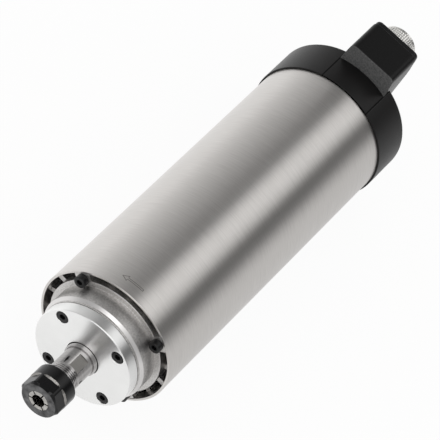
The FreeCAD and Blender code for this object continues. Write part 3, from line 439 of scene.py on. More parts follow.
def mouldedPlastic(name, dark, pale, rough, grainSize, seam=None, seamHalf=0.55, shine=0.225):
    # Nylon from a spark-eroded mould: one even colour with a fine grain. A seam is the angle from +Z,
    # on both sides, of a joint where a thin, dull line of painted shade stands for the shadow in its gap.
    material, tree, shader, place = newMaterial(name)
    grain = addNode(tree, "TexNoise", {}, {"Vector": place, "Scale": perMm(grainSize), "Detail": 3.0})
    clouds = addNode(tree, "TexNoise", {}, {"Vector": place, "Scale": perMm(11), "Detail": 1.0})
    colour = between(tree, clouds.outputs["Fac"], dark, pale)
    dull = between(tree, grain.outputs["Fac"], rough - 0.07, rough + 0.07)
    if seam:
        parts = addNode(tree, "SeparateXYZ", {}, {"Vector": place}).outputs
        turn = addNode(tree, "Math", {"operation": "ARCTAN2"}, {0: parts["Y"], 1: parts["Z"]})
        side = addNode(tree, "Math", {"operation": "ABSOLUTE"}, {0: turn.outputs[0]})
        # painted shade: near the seam's angle the colour goes nearly black and the gloss dull
        near = addNode(tree, "Math", {"operation": "COMPARE"}, {
            0: side.outputs[0], 1: math.radians(seam), 2: math.radians(seamHalf)}).outputs[0]
        colour = tint(tree, colour, "#030303", near)
        dull = addNode(tree, "Math", {"operation": "MAXIMUM"}, {0: dull, 1: near}).outputs[0]
    tree.links.new(colour, shader.inputs["Base Color"])
    tree.links.new(dull, shader.inputs["Roughness"])
    shader.inputs["Specular IOR Level"].default_value = shine
    bump(tree, shader, grain.outputs["Fac"], 0.02)
    return material


def boxNylon(v):
    # Black nylon again, with a coarser mould grain on the box's front face, which is also painted grey as
    # painted light.
    material, tree, shader, place = newMaterial("nylon_painted_lit_front")
    coarse = mask(tree, alongAxis(tree, place), v["front"] + 0.6, v["front"] + 0.1)
    grain = addNode(tree, "TexNoise", {}, {"Vector": place, "Scale": perMm(v["grain"]), "Detail": 3.0})
    specks = addNode(tree, "TexNoise", {}, {
        "Vector": place, "Scale": perMm(v["coarseGrain"]), "Detail": 3.0})
    # painted light: the front face is grey to stand for the light it catches
    grey = between(tree, specks.outputs["Fac"], *v["litFrontGreys"])
    tree.links.new(tint(tree, v["black"], grey, coarse), shader.inputs["Base Color"])
    shade(tree, shader, coarse, *v["rough"], "Roughness")
    shader.inputs["Specular IOR Level"].default_value = v["shine"]
    bump(tree, shader, grain.outputs["Fac"], 0.02)
    return material


def nickelPlate():
    # Brass with bright nickel plating: a warm mirror that fingers have dulled a little.
    material, tree, shader, place = newMaterial("nickel_plate")
    shader.inputs["Metallic"].default_value = 1.0
    smears = addNode(tree, "TexNoise", {}, {"Vector": place, "Scale": perMm(3), "Detail": 3.0})
    shade(tree, shader, smears.outputs["Fac"], "#dad8d4", "#ecebe8", "Base Color")
    shade(tree, shader, smears.outputs["Fac"], 0.1, 0.2, "Roughness")
    return material


def plainMetal(name, dark, pale, rough, size):
    # Metal that is seen only through a gap: two tones and a grain.
    material, tree, shader, place = newMaterial(name)
    shader.inputs["Metallic"].default_value = 1.0
    grain = addNode(tree, "TexNoise", {}, {"Vector": place, "Scale": perMm(size), "Detail": 2.0})
    shade(tree, shader, grain.outputs["Fac"], dark, pale, "Base Color")
    shade(tree, shader, grain.outputs["Fac"], rough - 0.05, rough + 0.05, "Roughness")
    return material


def keepNode(node, material):
    # A CAD node that is shown as it is gets a finish of its own.
    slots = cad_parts[node].data.materials
    slots.clear()
    slots.append(material)


# Body of the motor

sleeve = dict(radius=32.5, bore=31.4, length=167.5, register=162.6, registerRadius=32.0,
              edge=0.18, segments=256)


def outerSleeve(v=sleeve):
    outline = rounded([
        (0, v["bore"], v["edge"]), (0, v["radius"], v["edge"]), (v["register"], v["radius"], 0.03),
        (v["register"], v["registerRadius"]), (v["length"], v["registerRadius"], v["edge"]),
        (v["length"], v["bore"], v["edge"])])
    piece = gridPiece("outer_sleeve_shell", [sweptRound(outline, around(v["segments"]))])
    dress(piece, "housing", stainless, ["outer_sleeve"])


arrow = dict(x=6.3, tail=-1.5, tip=18.0, headLength=3.0, headHalf=1.6, stemHalf=0.6, line=0.32, proud=0.02,
             sunk=0.1)


def turnArrow(v=arrow):
    # The outline of an arrow, etched round the sleeve towards +Y. Its line is a flat ring of four
    # rows: the outer and inner edge above the surface, then the inner and outer edge below it.
    long = math.radians(v["tip"] - v["tail"]) * sleeve["radius"]
    neck = long - v["headLength"]
    half, head = v["stemHalf"], v["headHalf"]
    outline = np.array([(0, -half), (0, half), (neck, half), (neck, head), (long, 0), (neck, -head),
                        (neck, -half)], float)
    steps = np.linspace(0, 1, 8, endpoint=False)[:, None]
    ahead = np.roll(outline, -1, 0)
    path = (outline[:, None] * (1 - steps) + ahead[:, None] * steps).reshape(-1, 2)
    run = np.roll(path, -1, 0) - np.roll(path, 1, 0)
    inner = path + np.stack([run[:, 1], -run[:, 0]], -1) / np.linalg.norm(run, axis=1)[:, None] * v["line"]
    rows = np.stack([path, inner, inner, path])
    radius = sleeve["radius"] + np.array([v["proud"], v["proud"], -v["sunk"], -v["sunk"]])[:, None]
    turn = math.radians(v["tail"]) + rows[..., 0] / sleeve["radius"]
    grid = np.stack([v["x"] + rows[..., 1], radius * np.sin(turn), radius * np.cos(turn)], -1)
    piece = gridPiece("sleeve_turn_arrow", [grid])
    dress(piece, "housing", etched)


flange = dict(
    nose=-10.2, seat=16, land=24.2, landEnd=-9.3, coneEnd=-8.1, body=25.4, collar=28, back=5,
    spigot=23.95, spigotEnd=10.3, lip=13.5, lipStart=7.8, earTip=31.3, earAngle=47.2, earWidth=7.4,
    edge=0.15, columnStep=1.5, ramp=0.2, screwCircle=28.7,
    grain=0.8, tones=("#9b9997", "#efedeb"), rough=(0.38, 0.46), cutTone="#dddbda", cutRough=-0.09,
    blur=0.05)


def earHalf(v):
    # Half of an ear's width as an angle at its middle radius.
    return math.degrees(v["earWidth"] / (v["collar"] + v["earTip"]))


def earAngles(v):
    # Even columns, and one on both ends of the short ramp at each wall of an ear.
    centres = evenly(4, v["earAngle"])
    walls = [centres + side * (earHalf(v) + extra) for side in (-1, 1) for extra in (0, v["ramp"])]
    return np.unique(np.round(np.concatenate([np.arange(0, 360, v["columnStep"])] + walls) % 360, 4))


def frontFlange(v=flange):
    # A turned outline whose radius grows from the collar to the ear's tip inside the four ears.
    edge = v["edge"]
    front = rounded([
        (v["nose"], v["seat"], edge), (v["nose"], v["land"], edge), (v["landEnd"], v["land"]),
        (v["coneEnd"], v["body"], edge), (0, v["body"], edge), (0, v["collar"] - edge)])
    back = rounded([
        (v["back"], v["collar"]), (v["back"], v["spigot"]), (v["spigotEnd"], v["spigot"], edge),
        (v["spigotEnd"], v["lip"], edge), (v["lipStart"], v["lip"], edge), (v["lipStart"], v["seat"])])
    rim = [(0.0, 0.96), (edge, 1.0), (v["back"], 1.0)]  # station, and share of the ear's rise
    outline = np.concatenate([front, [(x, v["collar"] - edge * (x == 0)) for x, _ in rim], back])
    shares = np.concatenate([np.zeros(len(front)), [share for _, share in rim], np.zeros(len(back))])
    degrees = earAngles(v)
    away = np.abs((degrees - v["earAngle"] + 45) % 90 - 45)
    inside = np.clip((earHalf(v) + v["ramp"] - away) / v["ramp"], 0, 1)
    rise = (v["earTip"] - v["collar"]) * inside
    radius = outline[:, 1:2] + shares[:, None] * rise[None]
    piece = gridPiece("front_bearing_flange", [sweptRound(outline, np.radians(degrees), radius)])
    dress(piece, "housing", blasted, ["front_flange"])


cover = dict(
    front=-15.7, radius=24, reliefStart=-10.45, relief=23.6, back=flange["nose"], recess=13,
    recessStart=-13.4, hole=8.0, rim=0.5, edge=0.2, screwCircle=20.1, screwAngle=55.4, sink=3.0,
    sinkDepth=3.1, screwHole=1.6, chamfer=0.1)


def frontCover(v=cover):
    edge = v["edge"]
    outline = rounded([
        (v["front"], v["hole"], edge), (v["front"], v["radius"], v["rim"]),
        (v["reliefStart"], v["radius"], edge), (v["reliefStart"], v["relief"]),
        (v["back"], v["relief"]), (v["back"], v["recess"]), (v["recessStart"], v["recess"]),
        (v["recessStart"], v["hole"], edge)])
    piece = gridPiece("front_cover_disc", [sweptRound(outline, around(240))])
    face = v["front"]
    drill = np.array([
        (face - 1, 0), (face - 1, v["sink"] + v["chamfer"] + 1), (face + v["chamfer"], v["sink"]),
        (face + v["sinkDepth"], v["sink"]), (face + v["sinkDepth"], v["screwHole"]),
        (v["back"] + 1, v["screwHole"]), (v["back"] + 1, 0)])
    cutter = gridPiece("sinkCutter", [
        sweptRound(drill, around(48), centre=onCircle(v["screwCircle"], angle))
        for angle in evenly(4, v["screwAngle"])], wrapRows=False)
    cutAway(piece, cutter)
    dress(piece, "housing", faced, ["front_cover"])


# Screws

screw = dict(head=2.75, height=3, lowHeight=1.6, shank=1.5, key=2.5, keyDepth=1.6, lowKeyDepth=1.0,
             edge=0.3, lip=0.15, coverLength=8, earLength=16, capLength=35, plateLength=8)


def hexRadius(angles, span):
    # Distance from the centre to the side of a hexagon across flats, at each angle.
    return span / 2 / np.cos((angles + math.pi / 6) % (math.pi / 3) - math.pi / 6)


def screwGrid(v, seat, direction, spot, length, height, keyDepth):
    # One closed surface: socket floor, hexagon wall, rounded head, shank and its end. Rows run
    # down the screw from its head, and the direction turns them towards +X or -X.
    angles = around(48)
    key = v["key"] / 2
    outline = rounded([
        (keyDepth, 0), (keyDepth, key), (v["lip"], key), (0, key + v["lip"]), (0, v["head"], v["edge"]),
        (height, v["head"], v["lip"]), (height, v["shank"]), (height + length - v["lip"], v["shank"]),
        (height + length, v["shank"] - v["lip"]), (height + length, 0)])
    radius = outline[:, 1:2] * np.ones(len(angles))
    radius[1:3] = hexRadius(angles, v["key"])
    radius[3] = hexRadius(angles, v["key"] + 2 * v["lip"])
    outline[:, 0] = seat + direction * (outline[:, 0] - height)
    return sweptRound(outline, angles, radius, spot)


def socketScrews(v=screw):
    # Four in the front cover, four on the front ears, four on the rear flange, three through the
    # fan cover, and four with low heads sunk in the box plate.
    coverSeat = cover["front"] + cover["sinkDepth"]
    places = [(coverSeat, 1, onCircle(cover["screwCircle"], angle), v["coverLength"])
              for angle in evenly(4, cover["screwAngle"])]
    places += [(seat, direction, onCircle(flange["screwCircle"], angle), v["earLength"])
               for seat, direction in ((0, 1), (rearFlangeEnd, -1))
               for angle in evenly(4, flange["earAngle"])]
    places += [(fanCover["rear"], -1, onCircle(fanCover["postCircle"], angle), v["capLength"])
               for angle in evenly(3, fanCover["postAngle"])]
    grids = [screwGrid(v, *place, v["height"], v["keyDepth"]) for place in places]
    low = v["lowHeight"]
    grids += [screwGrid(v, plate["rear"] - low, -1, spot, v["plateLength"], low, v["lowKeyDepth"])
              for spot in plateSpots()]
    piece = gridPiece("socket_head_screws", grids, wrapRows=False)
    dress(piece, "housing", screwBlack, ["m3_screws"])


# Shaft, lock nut and collet nut

shaft = dict(
    mouth=-40.5, mouthRadius=5.4717, socketEnd=-27, socketEndRadius=3.575, radius=7, threadStart=-39.5,
    threadEnd=-28.2, pitch=1.0, threadDepth=0.45, flatFront=-27.4, flatRear=-19.7, flatSpan=13,
    flatAngle=-12, journalStart=flange["nose"], journal=7.5, shoulderStart=7.8, shoulder=10,
    coreStart=12.5, core=8.5, coreEnd=137.5, tailStart=146.5, tail=6, tailThreadStart=172, tailThread=4,
    end=178, edge=0.3,
    tones=("#969494", "#c8c6c5"), rough=(0.08, 0.16), milledTone="#8a8885", milledRough=0.4,
    # the last tone is painted shade for the thread's root
    rootShadeTone="#312f2d")


def spindleShaft(v=shaft):
    # The thread is a triangle wave with wide crests that climbs one pitch in a turn. It is drawn
    # coarser than its 0.75 mm, which would not show. The flats cut the radius to half the span over
    # the cosine of the angle from their normal, held at a half, where it is far outside the shaft.
    angles = around(128)
    edge = v["edge"]
    threadRows = np.arange(v["threadStart"], v["threadEnd"], v["pitch"] / 8)
    outer = [(v["mouth"], v["mouthRadius"], edge), (v["mouth"], v["radius"], edge)]
    outer += [(x, v["radius"]) for x in threadRows]
    outer += [(end + side, v["radius"]) for end in (v["flatFront"], v["flatRear"])
              for side in (-0.02, 0.02)]
    outer += [
        (v["journalStart"], v["radius"]), (v["journalStart"], v["journal"], 0.2),
        (v["shoulderStart"], v["journal"]), (v["shoulderStart"], v["shoulder"], edge),
        (v["coreStart"], v["shoulder"], edge), (v["coreStart"], v["core"]),
        (v["coreEnd"], v["core"], edge), (v["coreEnd"], v["journal"]),
        (v["tailStart"], v["journal"], edge), (v["tailStart"], v["tail"]),
        (v["tailThreadStart"], v["tail"], edge), (v["tailThreadStart"], v["tailThread"]),
        (v["end"], v["tailThread"], 0.4), (v["end"], 0),
        (v["socketEnd"], 0), (v["socketEnd"], v["socketEndRadius"])]
    outline = rounded(outer)
    x, r = outline[:, 0:1], outline[:, 1:2]
    outside = r > v["radius"] - 0.1
    onThread = outside & (x > v["threadStart"]) & (x < v["threadEnd"])
    wave = np.abs((x / v["pitch"] - angles / (2 * math.pi)) % 1 - 0.5) * 2
    radius = r - onThread * v["threadDepth"] * np.clip(2.5 * wave - 1.5, 0, 1)
    flat = v["flatSpan"] / 2 / np.maximum(np.abs(np.cos(angles - math.radians(v["flatAngle"]))), 0.5)
    onFlat = outside & (x > v["flatFront"]) & (x < v["flatRear"])
    radius = np.where(onFlat, np.minimum(radius, flat), radius)
    piece = gridPiece("spindle_shaft", [sweptRound(outline, angles, radius)], sharp=25)
    dress(piece, "rotor", ground, ["shaft"])


lockNut = dict(front=-17.7, bore=7.02, barrel=7.75, step=-12.8, flange=11.5, back=flange["nose"],
               edge=0.15)


def frontLockNut(v=lockNut):
    outline = rounded([
        (v["front"], v["bore"], 0.1), (v["front"], v["barrel"], v["edge"]), (v["step"], v["barrel"]),
        (v["step"], v["flange"], v["edge"]), (v["back"], v["flange"]), (v["back"], v["bore"])])
    piece = gridPiece("front_lock_ring", [sweptRound(outline, around(120))])
    dress(piece, "rotor", ground, ["front_lock_nut"])


nut = dict(
    front=-46, rear=-33.4, radius=9.5, span=17, hexEnd=-39.45, hexAngle=7.8, chamfer=1.2,
    faceBore=4.8, coneEnd=-44.3, coneBore=5.8, ringStart=-42.9, ringBore=5.35, ringEnd=-41.56,
    threadBore=7.05, edge=0.25, rearEdge=0.5, slope=0.8,
    # the step's pale grey is a painted highlight
    black=("#060607", "#0d0d0e"), worn=("#171718", "#676768"), stepHighlight="#8c8a87", rough=(0.14, 0.26),
    shine=0.35)


def colletNut(v=nut):
    # The turned outline is cut down to a hexagon ahead of its end: the smaller of the two radii
    # holds at each angle, which leaves the curved corners of the chamfer and of the step.
    edge = v["edge"]
    outline = rounded([
        (v["front"], v["faceBore"], 0.15), (v["front"], v["radius"] - v["chamfer"], edge),
        (v["front"] + v["chamfer"], v["radius"], edge), (v["hexEnd"] - v["slope"], v["radius"]),
        (v["hexEnd"], v["radius"]), (v["hexEnd"] + 0.02, v["radius"]),
        (v["rear"], v["radius"], v["rearEdge"]), (v["rear"], v["threadBore"], edge),
        (v["ringEnd"], v["threadBore"]), (v["ringEnd"], v["ringBore"]), (v["ringStart"], v["ringBore"]),
        (v["ringStart"], v["coneBore"]), (v["coneEnd"], v["coneBore"])])
    angles = around(180)
    side = hexRadius(angles - math.radians(v["hexAngle"]), v["span"])
    x, r = outline[:, 0:1], outline[:, 1:2]
    ramp = np.clip((x - v["hexEnd"]) / v["slope"] + 1, 0, 1) * v["slope"]
    onHex = (x <= v["hexEnd"] + 0.001) & (r > v["threadBore"] + 1)
    radius = np.where(onHex, np.minimum(r, side + ramp), r)
    piece = gridPiece("collet_nut_body", [sweptRound(outline, angles, radius)], sharp=25)
    dress(piece, "nut_body", nutBlack, ["collet_nut"])


# Fan cover, junction box and socket

rearFlangeEnd = 153
fanCover = dict(
    front=sleeve["register"], rear=183.2, radius=33.4, overSleeve=32.05, step=167.55, bore=31.2,
    wall=180.7, edge=1.0, lip=0.3, notch=46.0, saddle=45.4, slots=20, slotWidth=2, slotInner=10,
    slotOuter=21.5, postCircle=25.5, postAngle=60, postRadius=2.8, postBore=1.6)


def fanCap(v=fanCover):
    outline = rounded([
        (v["front"], v["overSleeve"], 0.1), (v["front"], v["radius"], v["lip"]),
        (v["rear"], v["radius"], v["edge"]), (v["rear"], 0), (v["wall"], 0), (v["wall"], v["bore"], 0.5),
        (v["step"], v["bore"]), (v["step"], v["overSleeve"])])
    piece = gridPiece("fan_cover_shell", [sweptRound(outline, around(240))])
    block = np.array([(v["front"] - 2, v["bore"] - 0.1), (v["front"] - 2, v["radius"] + 2),
                      (v["rear"] + 2, v["radius"] + 2), (v["rear"] + 2, v["bore"] - 0.1)])
    cutAway(piece, gridPiece("notchCutter", [sector(block, v["notch"])], wrapCols=False))
    half = v["slotWidth"] / 2
    slot = rounded([(-half, v["slotInner"], half), (half, v["slotInner"], half),
                    (half, v["slotOuter"], half), (-half, v["slotOuter"], half)])
    grids = []
    for turn in np.radians(evenly(v["slots"])):
        spin = np.array([[math.cos(turn), math.sin(turn)], [-math.sin(turn), math.cos(turn)]])
        grids.append(closedAlong(slot @ spin.T, [v["wall"] - 1, v["rear"] + 1], [0, 0]))
    cutAway(piece, gridPiece("slotCutter", grids, wrapRows=False))
    dress(piece, "housing", capBlack, ["fan_cover"])
    tube = rounded([(rearFlangeEnd, v["postBore"]), (rearFlangeEnd, v["postRadius"], 0.2),
                    (v["wall"] + 0.2, v["postRadius"]), (v["wall"] + 0.2, v["postBore"])])
    posts = gridPiece("fan_cover_posts", [
        sweptRound(tube, around(32), centre=onCircle(v["postCircle"], angle))
        for angle in evenly(3, v["postAngle"])])
    dress(posts, "housing", capBlack)


box = dict(
    front=177.5, rear=197.5, capRear=fanCover["rear"], top=42.5, low=12, towerLow=30.4, shoulder=31,
    halfWidth=13.0, halfTop=12.2, round=3.0, foot=1.0, edge=0.3, rearEdge=0.45,
    # the front face's greys are painted light
    grain=0.35, coarseGrain=0.9, black="#0c0c0c", litFrontGreys=("#303030", "#6c6c6c"), rough=(0.34, 0.8),
    shine=0.2)


def boxOutline(v, low, grow=0):
    # The section of the box: upright sides that lean in above the shoulder, with rounded corners.
    wide, narrow, top = v["halfWidth"] + grow, v["halfTop"] + grow, v["top"] + grow
    return rounded([
        (-wide, low - grow, v["foot"]), (-wide, v["shoulder"]), (-narrow, top, v["round"]),
        (narrow, top, v["round"]), (wide, v["shoulder"]), (wide, low - grow, v["foot"])], steps=6)


def easedEnds(start, end, startEdge, endEdge, steps=4):
    # Stations and insets of a length whose two end edges are rounded by quarter circles.
    turn = np.linspace(0, math.pi / 2, steps + 1)
    inward, down = 1 - np.sin(turn), 1 - np.cos(turn)
    stations = np.concatenate([start + startEdge * inward, end - endEdge * inward[::-1]])
    insets = np.concatenate([startEdge * down, endEdge * down[::-1]])
    order = np.argsort(stations, kind="stable")
    return stations[order], insets[order]


def junctionBox(v=box):
    edge = v["edge"]
    stations, insets = easedEnds(v["front"], v["capRear"], edge, 0)
    tower = closedAlong(boxOutline(v, v["towerLow"]), stations, insets)
    stations, insets = easedEnds(v["capRear"] + 0.01, v["rear"], 0, v["rearEdge"])
    case = closedAlong(boxOutline(v, v["low"]), stations, insets)
    shell = gridPiece("junction_box_shell", [tower, case], wrapRows=False)
    cap = fanCover
    outline = rounded([
        (cap["front"], cap["overSleeve"], 0.1), (cap["front"], cap["radius"], cap["lip"]),
        (cap["rear"], cap["radius"], 0.2), (cap["rear"], cap["bore"]), (cap["step"], cap["bore"]),
        (cap["step"], cap["overSleeve"])])
    saddle = gridPiece("junction_box_saddle", [sector(outline, cap["saddle"])], wrapCols=False)
    dress(shell, "housing", boxBlack, ["junction_box"])
    dress(saddle, "housing", capBlack)


plate = dict(front=197.52, rear=200, inset=0.3, edge=0.4, screwAcross=9.0, screwLow=15.2, screwHigh=39.3,
             hole=8.1, sink=2.85, screwHole=1.6)


def plateSpots(v=plate):
    return [(across, up) for across in (-v["screwAcross"], v["screwAcross"])
            for up in (v["screwLow"], v["screwHigh"])]


def boxPlate(v=plate):
    stations, insets = easedEnds(v["front"], v["rear"], v["edge"], v["edge"])
    piece = gridPiece("box_plate_panel", [
        closedAlong(boxOutline(box, box["low"], -v["inset"]), stations, insets)], wrapRows=False)
    start, seat, end = v["front"] - 1, v["rear"] - screw["lowHeight"], v["rear"] + 1
    through = [(start, 0), (start, v["hole"]), (end, v["hole"]), (end, 0)]
    sunk = [(start, 0), (start, v["screwHole"]), (seat, v["screwHole"]), (seat, v["sink"]),
            (end, v["sink"]), (end, 0)]
    cuts = [sweptRound(np.array(through), around(64), centre=(0, socket["height"]))]
    cuts += [sweptRound(np.array(sunk), around(40), centre=spot) for spot in plateSpots()]
    cutAway(piece, gridPiece("plateCutter", cuts, wrapRows=False))
    dress(piece, "housing", plateBlack, ["box_plate"])


socket = dict(
    height=27.25, flangeFront=195.5, flangeRear=box["rear"], flange=9.3, radius=8, bore=6.9, end=211,
    ringFront=plate["rear"], ringRear=211.3, ring=9.0, ringBore=8.02, bandWidth=0.9, tooth=1.2,
    toothDepth=0.35, insertEnd=202, insertGap=0.02, pin=0.8, pinCircle=3.6, pinAngle=45, pinLength=3.2,
    pinRoot=0.5, edge=0.25)


def powerSocket(v=socket):
    centre = (0, v["height"])
    shell = rounded([
        (v["flangeFront"], v["bore"], 0.1), (v["flangeFront"], v["flange"], 0.2),
        (v["flangeRear"], v["flange"]), (v["flangeRear"], v["radius"]), (v["end"], v["radius"], v["edge"]),
        (v["end"], v["bore"], v["edge"])])
    piece = gridPiece("socket_shell_tube", [sweptRound(shell, around(128), centre=centre)])
    dress(piece, "housing", nickel, ["socket_shell"])
    # The knurl is two sine waves, along the ring and round it, between two smooth bands. It is drawn
    # coarser than its 0.8 mm, which would not show.
    inner = [v["ringFront"] + v["bandWidth"], v["ringRear"] - v["bandWidth"]]
    knurled = np.arange(inner[0], inner[1], v["tooth"] / 6)
    outline = rounded([(v["ringFront"], v["ringBore"], 0.1), (v["ringFront"], v["ring"], v["edge"])]
                      + [(x, v["ring"]) for x in knurled]
                      + [(v["ringRear"], v["ring"], v["edge"]), (v["ringRear"], v["ringBore"], 0.1)])
    teeth = round(2 * math.pi * v["ring"] / v["tooth"])
    angles = around(teeth * 6)
    x, r = outline[:, 0:1], outline[:, 1:2]
    onKnurl = (x >= inner[0]) & (x <= inner[1]) & (r > v["ring"] - 0.01)
    along = 0.5 - 0.5 * np.cos(2 * math.pi * (x - inner[0]) / v["tooth"])
    across = 0.5 - 0.5 * np.cos(teeth * angles)
    depth = v["toothDepth"] * (1 - np.minimum(1, 1.6 * along) * np.minimum(1, 1.6 * across))
    piece = gridPiece("socket_knurled_ring", [sweptRound(outline, angles, r - onKnurl * depth, centre)])
    dress(piece, "housing", nickel, ["socket_ring"])
    insert = v["bore"] - v["insertGap"]
    disc = rounded([(v["flangeFront"], 0), (v["flangeFront"], insert), (v["insertEnd"], insert, 0.3),
                    (v["insertEnd"], 0)])
    piece = gridPiece("socket_insulator", [sweptRound(disc, around(96), centre=centre)], wrapRows=False)
    dress(piece, "housing", insulator, ["socket_insert"])
    root, tip = v["insertEnd"] - v["pinRoot"], v["insertEnd"] + v["pinLength"]
    stem = rounded([(root, 0), (root, v["pin"]), (tip, v["pin"], 0.5), (tip, 0)])
    spots = [onCircle(v["pinCircle"], angle) for angle in evenly(4, v["pinAngle"])]
    piece = gridPiece("socket_contacts", [
        sweptRound(stem, around(24), centre=(y, z + v["height"])) for y, z in spots], wrapRows=False)
    dress(piece, "housing", gold, ["socket_pins"])


# Finishes

stainless = brushedStainless()
etched = plainMetal("etched_stainless", "#85817e", "#989491", 0.5, 0.5)
blasted = blastedAluminium(flange)
faced = faceTurnedAluminium()
ground = groundSteel(shaft)
spring = springSteel()
nickel = nickelPlate()
nutBlack = nutOxide(nut)
screwBlack = blackOxide("black_oxide_screw", "#0d0d0e", "#171718", 0.3, 0.3)
capBlack = mouldedPlastic("glass_filled_nylon", "#121111", "#191818", 0.36, 0.35,
                          seam=(fanCover["notch"] + fanCover["saddle"]) / 4)
boxBlack = boxNylon(box)
plateBlack = mouldedPlastic("smooth_nylon", "#0c0c0d", "#121213", 0.34, 0.6)
insulator = mouldedPlastic("phenolic_insulator", "#101011", "#161617", 0.36, 0.5)
fanBlack = mouldedPlastic("fan_nylon", "#141415", "#1c1c1e", 0.5, 0.5)
cageBrown = mouldedPlastic("cage_nylon", "#8a5f38", "#9b6d44", 0.4, 0.5)
lamination = plainMetal("electrical_steel", "#5d5d60", "#77777a", 0.45, 0.5)
copper = plainMetal("varnished_copper", "#8c4a22", "#b4662f", 0.35, 0.7)
bearing = plainMetal("bearing_steel", "#bdbdbd", "#d4d4d4", 0.15, 1.0)
gold = plainMetal("gilt_brass", "#b99a55", "#d3b673", 0.22, 0.6)
print("finishes made")

outerSleeve()
turnArrow()
frontFlange()
frontCover()
print("sleeve, flange and cover made")
socketScrews()
spindleShaft()
frontLockNut()
colletNut()
print("screws, shaft and nut made")
fanCap()
junctionBox()
boxPlate()
powerSocket()
print("fan cover, box and socket made")

asTheyAre = {
    "motor_body": blasted, "rear_flange": blasted, "outer_races": bearing, "inner_races": bearing,
    "bearing_balls": bearing, "bearing_cages": cageBrown, "preload_spring": bearing,
    "stator_core": lamination, "stator_windings": copper, "rotor_core": lamination, "fan": fanBlack,
    "fan_nut": ground, "collet": spring}
for node, material in asTheyAre.items():
    keepNode(node, material)


# Studio, with its lengths in metres

studio = dict(paper=("#f2f2f1", "#f5f5f4"), floorLift=0.93, floorHalf=6.0, floorGap=0.0003, worldTone=0.9,
              glossTone=1.0)
tent = dict(
    radius=1.2, front=-2.6, turnStart=-0.4, turnEnd=-0.1, rear=2.8, step=2.5,
    rearTones=[(-100, 0.8), (-88, 0.72), (-78, 0.5), (-68, 0.16), (-50, 0.14), (-40, 0.7), (-28, 0.98),
               (-14, 0.96), (-6, 0.7), (5, 0.24), (18, 0.24), (32, 0.38), (46, 0.52), (60, 0.64), (74, 0.78),
               (88, 0.92), (100, 1.05)],
    frontTones=[(-100, 0.6), (-80, 0.5), (-40, 0.5), (-24, 1.5), (30, 1.5), (44, 0.45), (84, 0.45),
                (100, 0.6)])
softBox = dict(radius=1.15, first=-36, last=50, front=-1.65, rear=-1.3, tone=3.0, columns=25)
sideCards = [dict(name="grey_card", near=-0.04, far=-1.2, tone=0.78),
             dict(name="white_card", near=0.04, far=1.2, tone=1.06)]


def floorMaterial(v=studio):
    # Pale paper. The camera also sees a share of plain white, which leaves only the shadow.
    material, tree, shader, place = newMaterial("studio_paper")
    fibres = addNode(tree, "TexNoise", {}, {"Vector": place, "Scale": perMm(2.0), "Detail": 2.0})
    shade(tree, shader, fibres.outputs["Fac"], *v["paper"], "Base Color")
    shader.inputs["Roughness"].default_value = 0.9
    path = addNode(tree, "LightPath")
    seen = addNode(tree, "Math", {"operation": "MAXIMUM"}, {
        0: path.outputs["Is Camera Ray"], 1: path.outputs["Is Glossy Ray"]})
    share = addNode(tree, "Math", {"operation": "MULTIPLY"}, {0: seen.outputs[0], 1: v["floorLift"]})
    white = addNode(tree, "Emission", {}, {"Color": (1, 1, 1, 1), "Strength": 1.0})
    mix = addNode(tree, "MixShader", {}, {0: share.outputs[0], 1: shader.outputs[0], 2: white.outputs[0]})
    tree.links.new(mix.outputs[0], tree.nodes["Material Output"].inputs["Surface"])
    return material


def layFloor(v=studio):
    low, half = cadBox[0][2] - v["floorGap"], v["floorHalf"]
    mesh = bpy.data.meshes.new("floor")
    mesh.from_pydata([(-half, -half, low), (half, -half, low), (half, half, low), (-half, half, low)], [],
                     [(0, 1, 2, 3)])
    floor = bpy.data.objects.new("floor", mesh)
    bpy.context.scene.collection.objects.link(floor)
    mesh.materials.append(floorMaterial())


def lightWorld(v=studio):
    world = bpy.data.worlds.new("world")
    bpy.context.scene.world = world
    world.use_nodes = True
    world.cycles.sampling_method = "NONE"  # an even sky is smoother when only the surfaces look for it
    tree = world.node_tree
    path = addNode(tree, "LightPath")
    seen = addNode(tree, "Math", {"operation": "MAXIMUM"}, {
        0: path.outputs["Is Camera Ray"], 1: path.outputs["Is Glossy Ray"]})
    level = addNode(tree, "MapRange", {}, {"Value": seen.outputs[0], "To Min": v["worldTone"],
                                           "To Max": v["glossTone"]})
    background = tree.nodes["Background"]
    background.inputs["Color"].default_value = (1, 1, 1, 1)
    tree.links.new(level.outputs["Result"], background.inputs["Strength"])


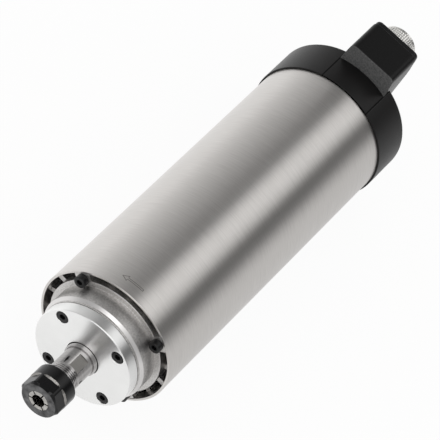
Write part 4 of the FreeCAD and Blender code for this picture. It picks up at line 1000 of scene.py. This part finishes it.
def glowCard(name, points, tones):
    # A sheet of points in metres, rows by columns, that glows by its own tones. Only reflections see
    # it, as a photographer hangs paper round a polished tube to draw its streaks.
    piece = gridPiece(name, [points * 1000], wrapRows=False, wrapCols=False)
    spots = np.empty(len(piece.data.vertices) * 3)
    piece.data.vertices.foreach_get("co", spots)
    spots = spots.reshape(-1, 3)
    away = np.linalg.norm(points.reshape(-1, 1, 3) - spots[None], axis=2)
    glow = np.asarray(tones, float).reshape(-1)[away.argmin(0)]
    piece.data.attributes.new("glow", "FLOAT", "POINT").data.foreach_set("value", glow)
    material = bpy.data.materials.new(name)
    material.use_nodes = True
    material.cycles.emission_sampling = "NONE"  # so large and even that aimed light only adds noise
    tree = material.node_tree
    tree.nodes.clear()
    tone = addNode(tree, "Attribute", {"attribute_name": "glow"})
    lamp = addNode(tree, "Emission", {}, {"Color": (1, 1, 1, 1), "Strength": tone.outputs["Fac"]})
    addNode(tree, "OutputMaterial", {}, {"Surface": lamp.outputs[0]})
    piece.data.materials.append(material)
    for kind in ("camera", "diffuse", "transmission", "volume_scatter", "shadow"):
        setattr(piece, "visible_" + kind, False)


def archPoints(stations, angles, radius):
    # Points of a round arch over the X axis, at each station and each angle from +Z towards +Y.
    x, turn = np.meshgrid(stations, np.radians(angles), indexing="ij")
    return np.stack([x, radius * np.sin(turn), radius * np.cos(turn)], -1)


def hangTent(v=tent, lamp=softBox, flat=sideCards):
    # An arch of paper over the spindle, darker and paler by the angle from +Z towards +Y.
    angles = np.arange(v["rearTones"][0][0], v["rearTones"][-1][0] + 0.1, v["step"])
    tones = [np.interp(angles, *np.transpose(v[name])) for name in ("frontTones", "rearTones")]
    stations = [v["front"], v["turnStart"], v["turnEnd"], v["rear"]]
    points = archPoints(stations, angles, v["radius"])
    glowCard("paper_tent", points, [tones[0], tones[0], tones[1], tones[1]])
    angles = np.linspace(lamp["first"], lamp["last"], lamp["columns"])
    points = archPoints([lamp["front"], lamp["rear"]], angles, lamp["radius"])
    fade = np.sin(np.linspace(0, math.pi, lamp["columns"])) ** 2  # dark at its ends
    glowCard("soft_box", points, lamp["tone"] * np.stack([fade, fade]))
    low = cadBox[0][2] + 0.001
    for card in flat:
        points = np.array([[(x, y, low) for y in (card["near"], card["far"])]
                           for x in (v["turnEnd"], v["rear"])])
        glowCard(card["name"], points, np.full((2, 2), card["tone"]))


layFloor()
lightWorld()
hangTent()
print("studio lit")

view = bpy.context.scene.view_settings
view.view_transform = "Standard"
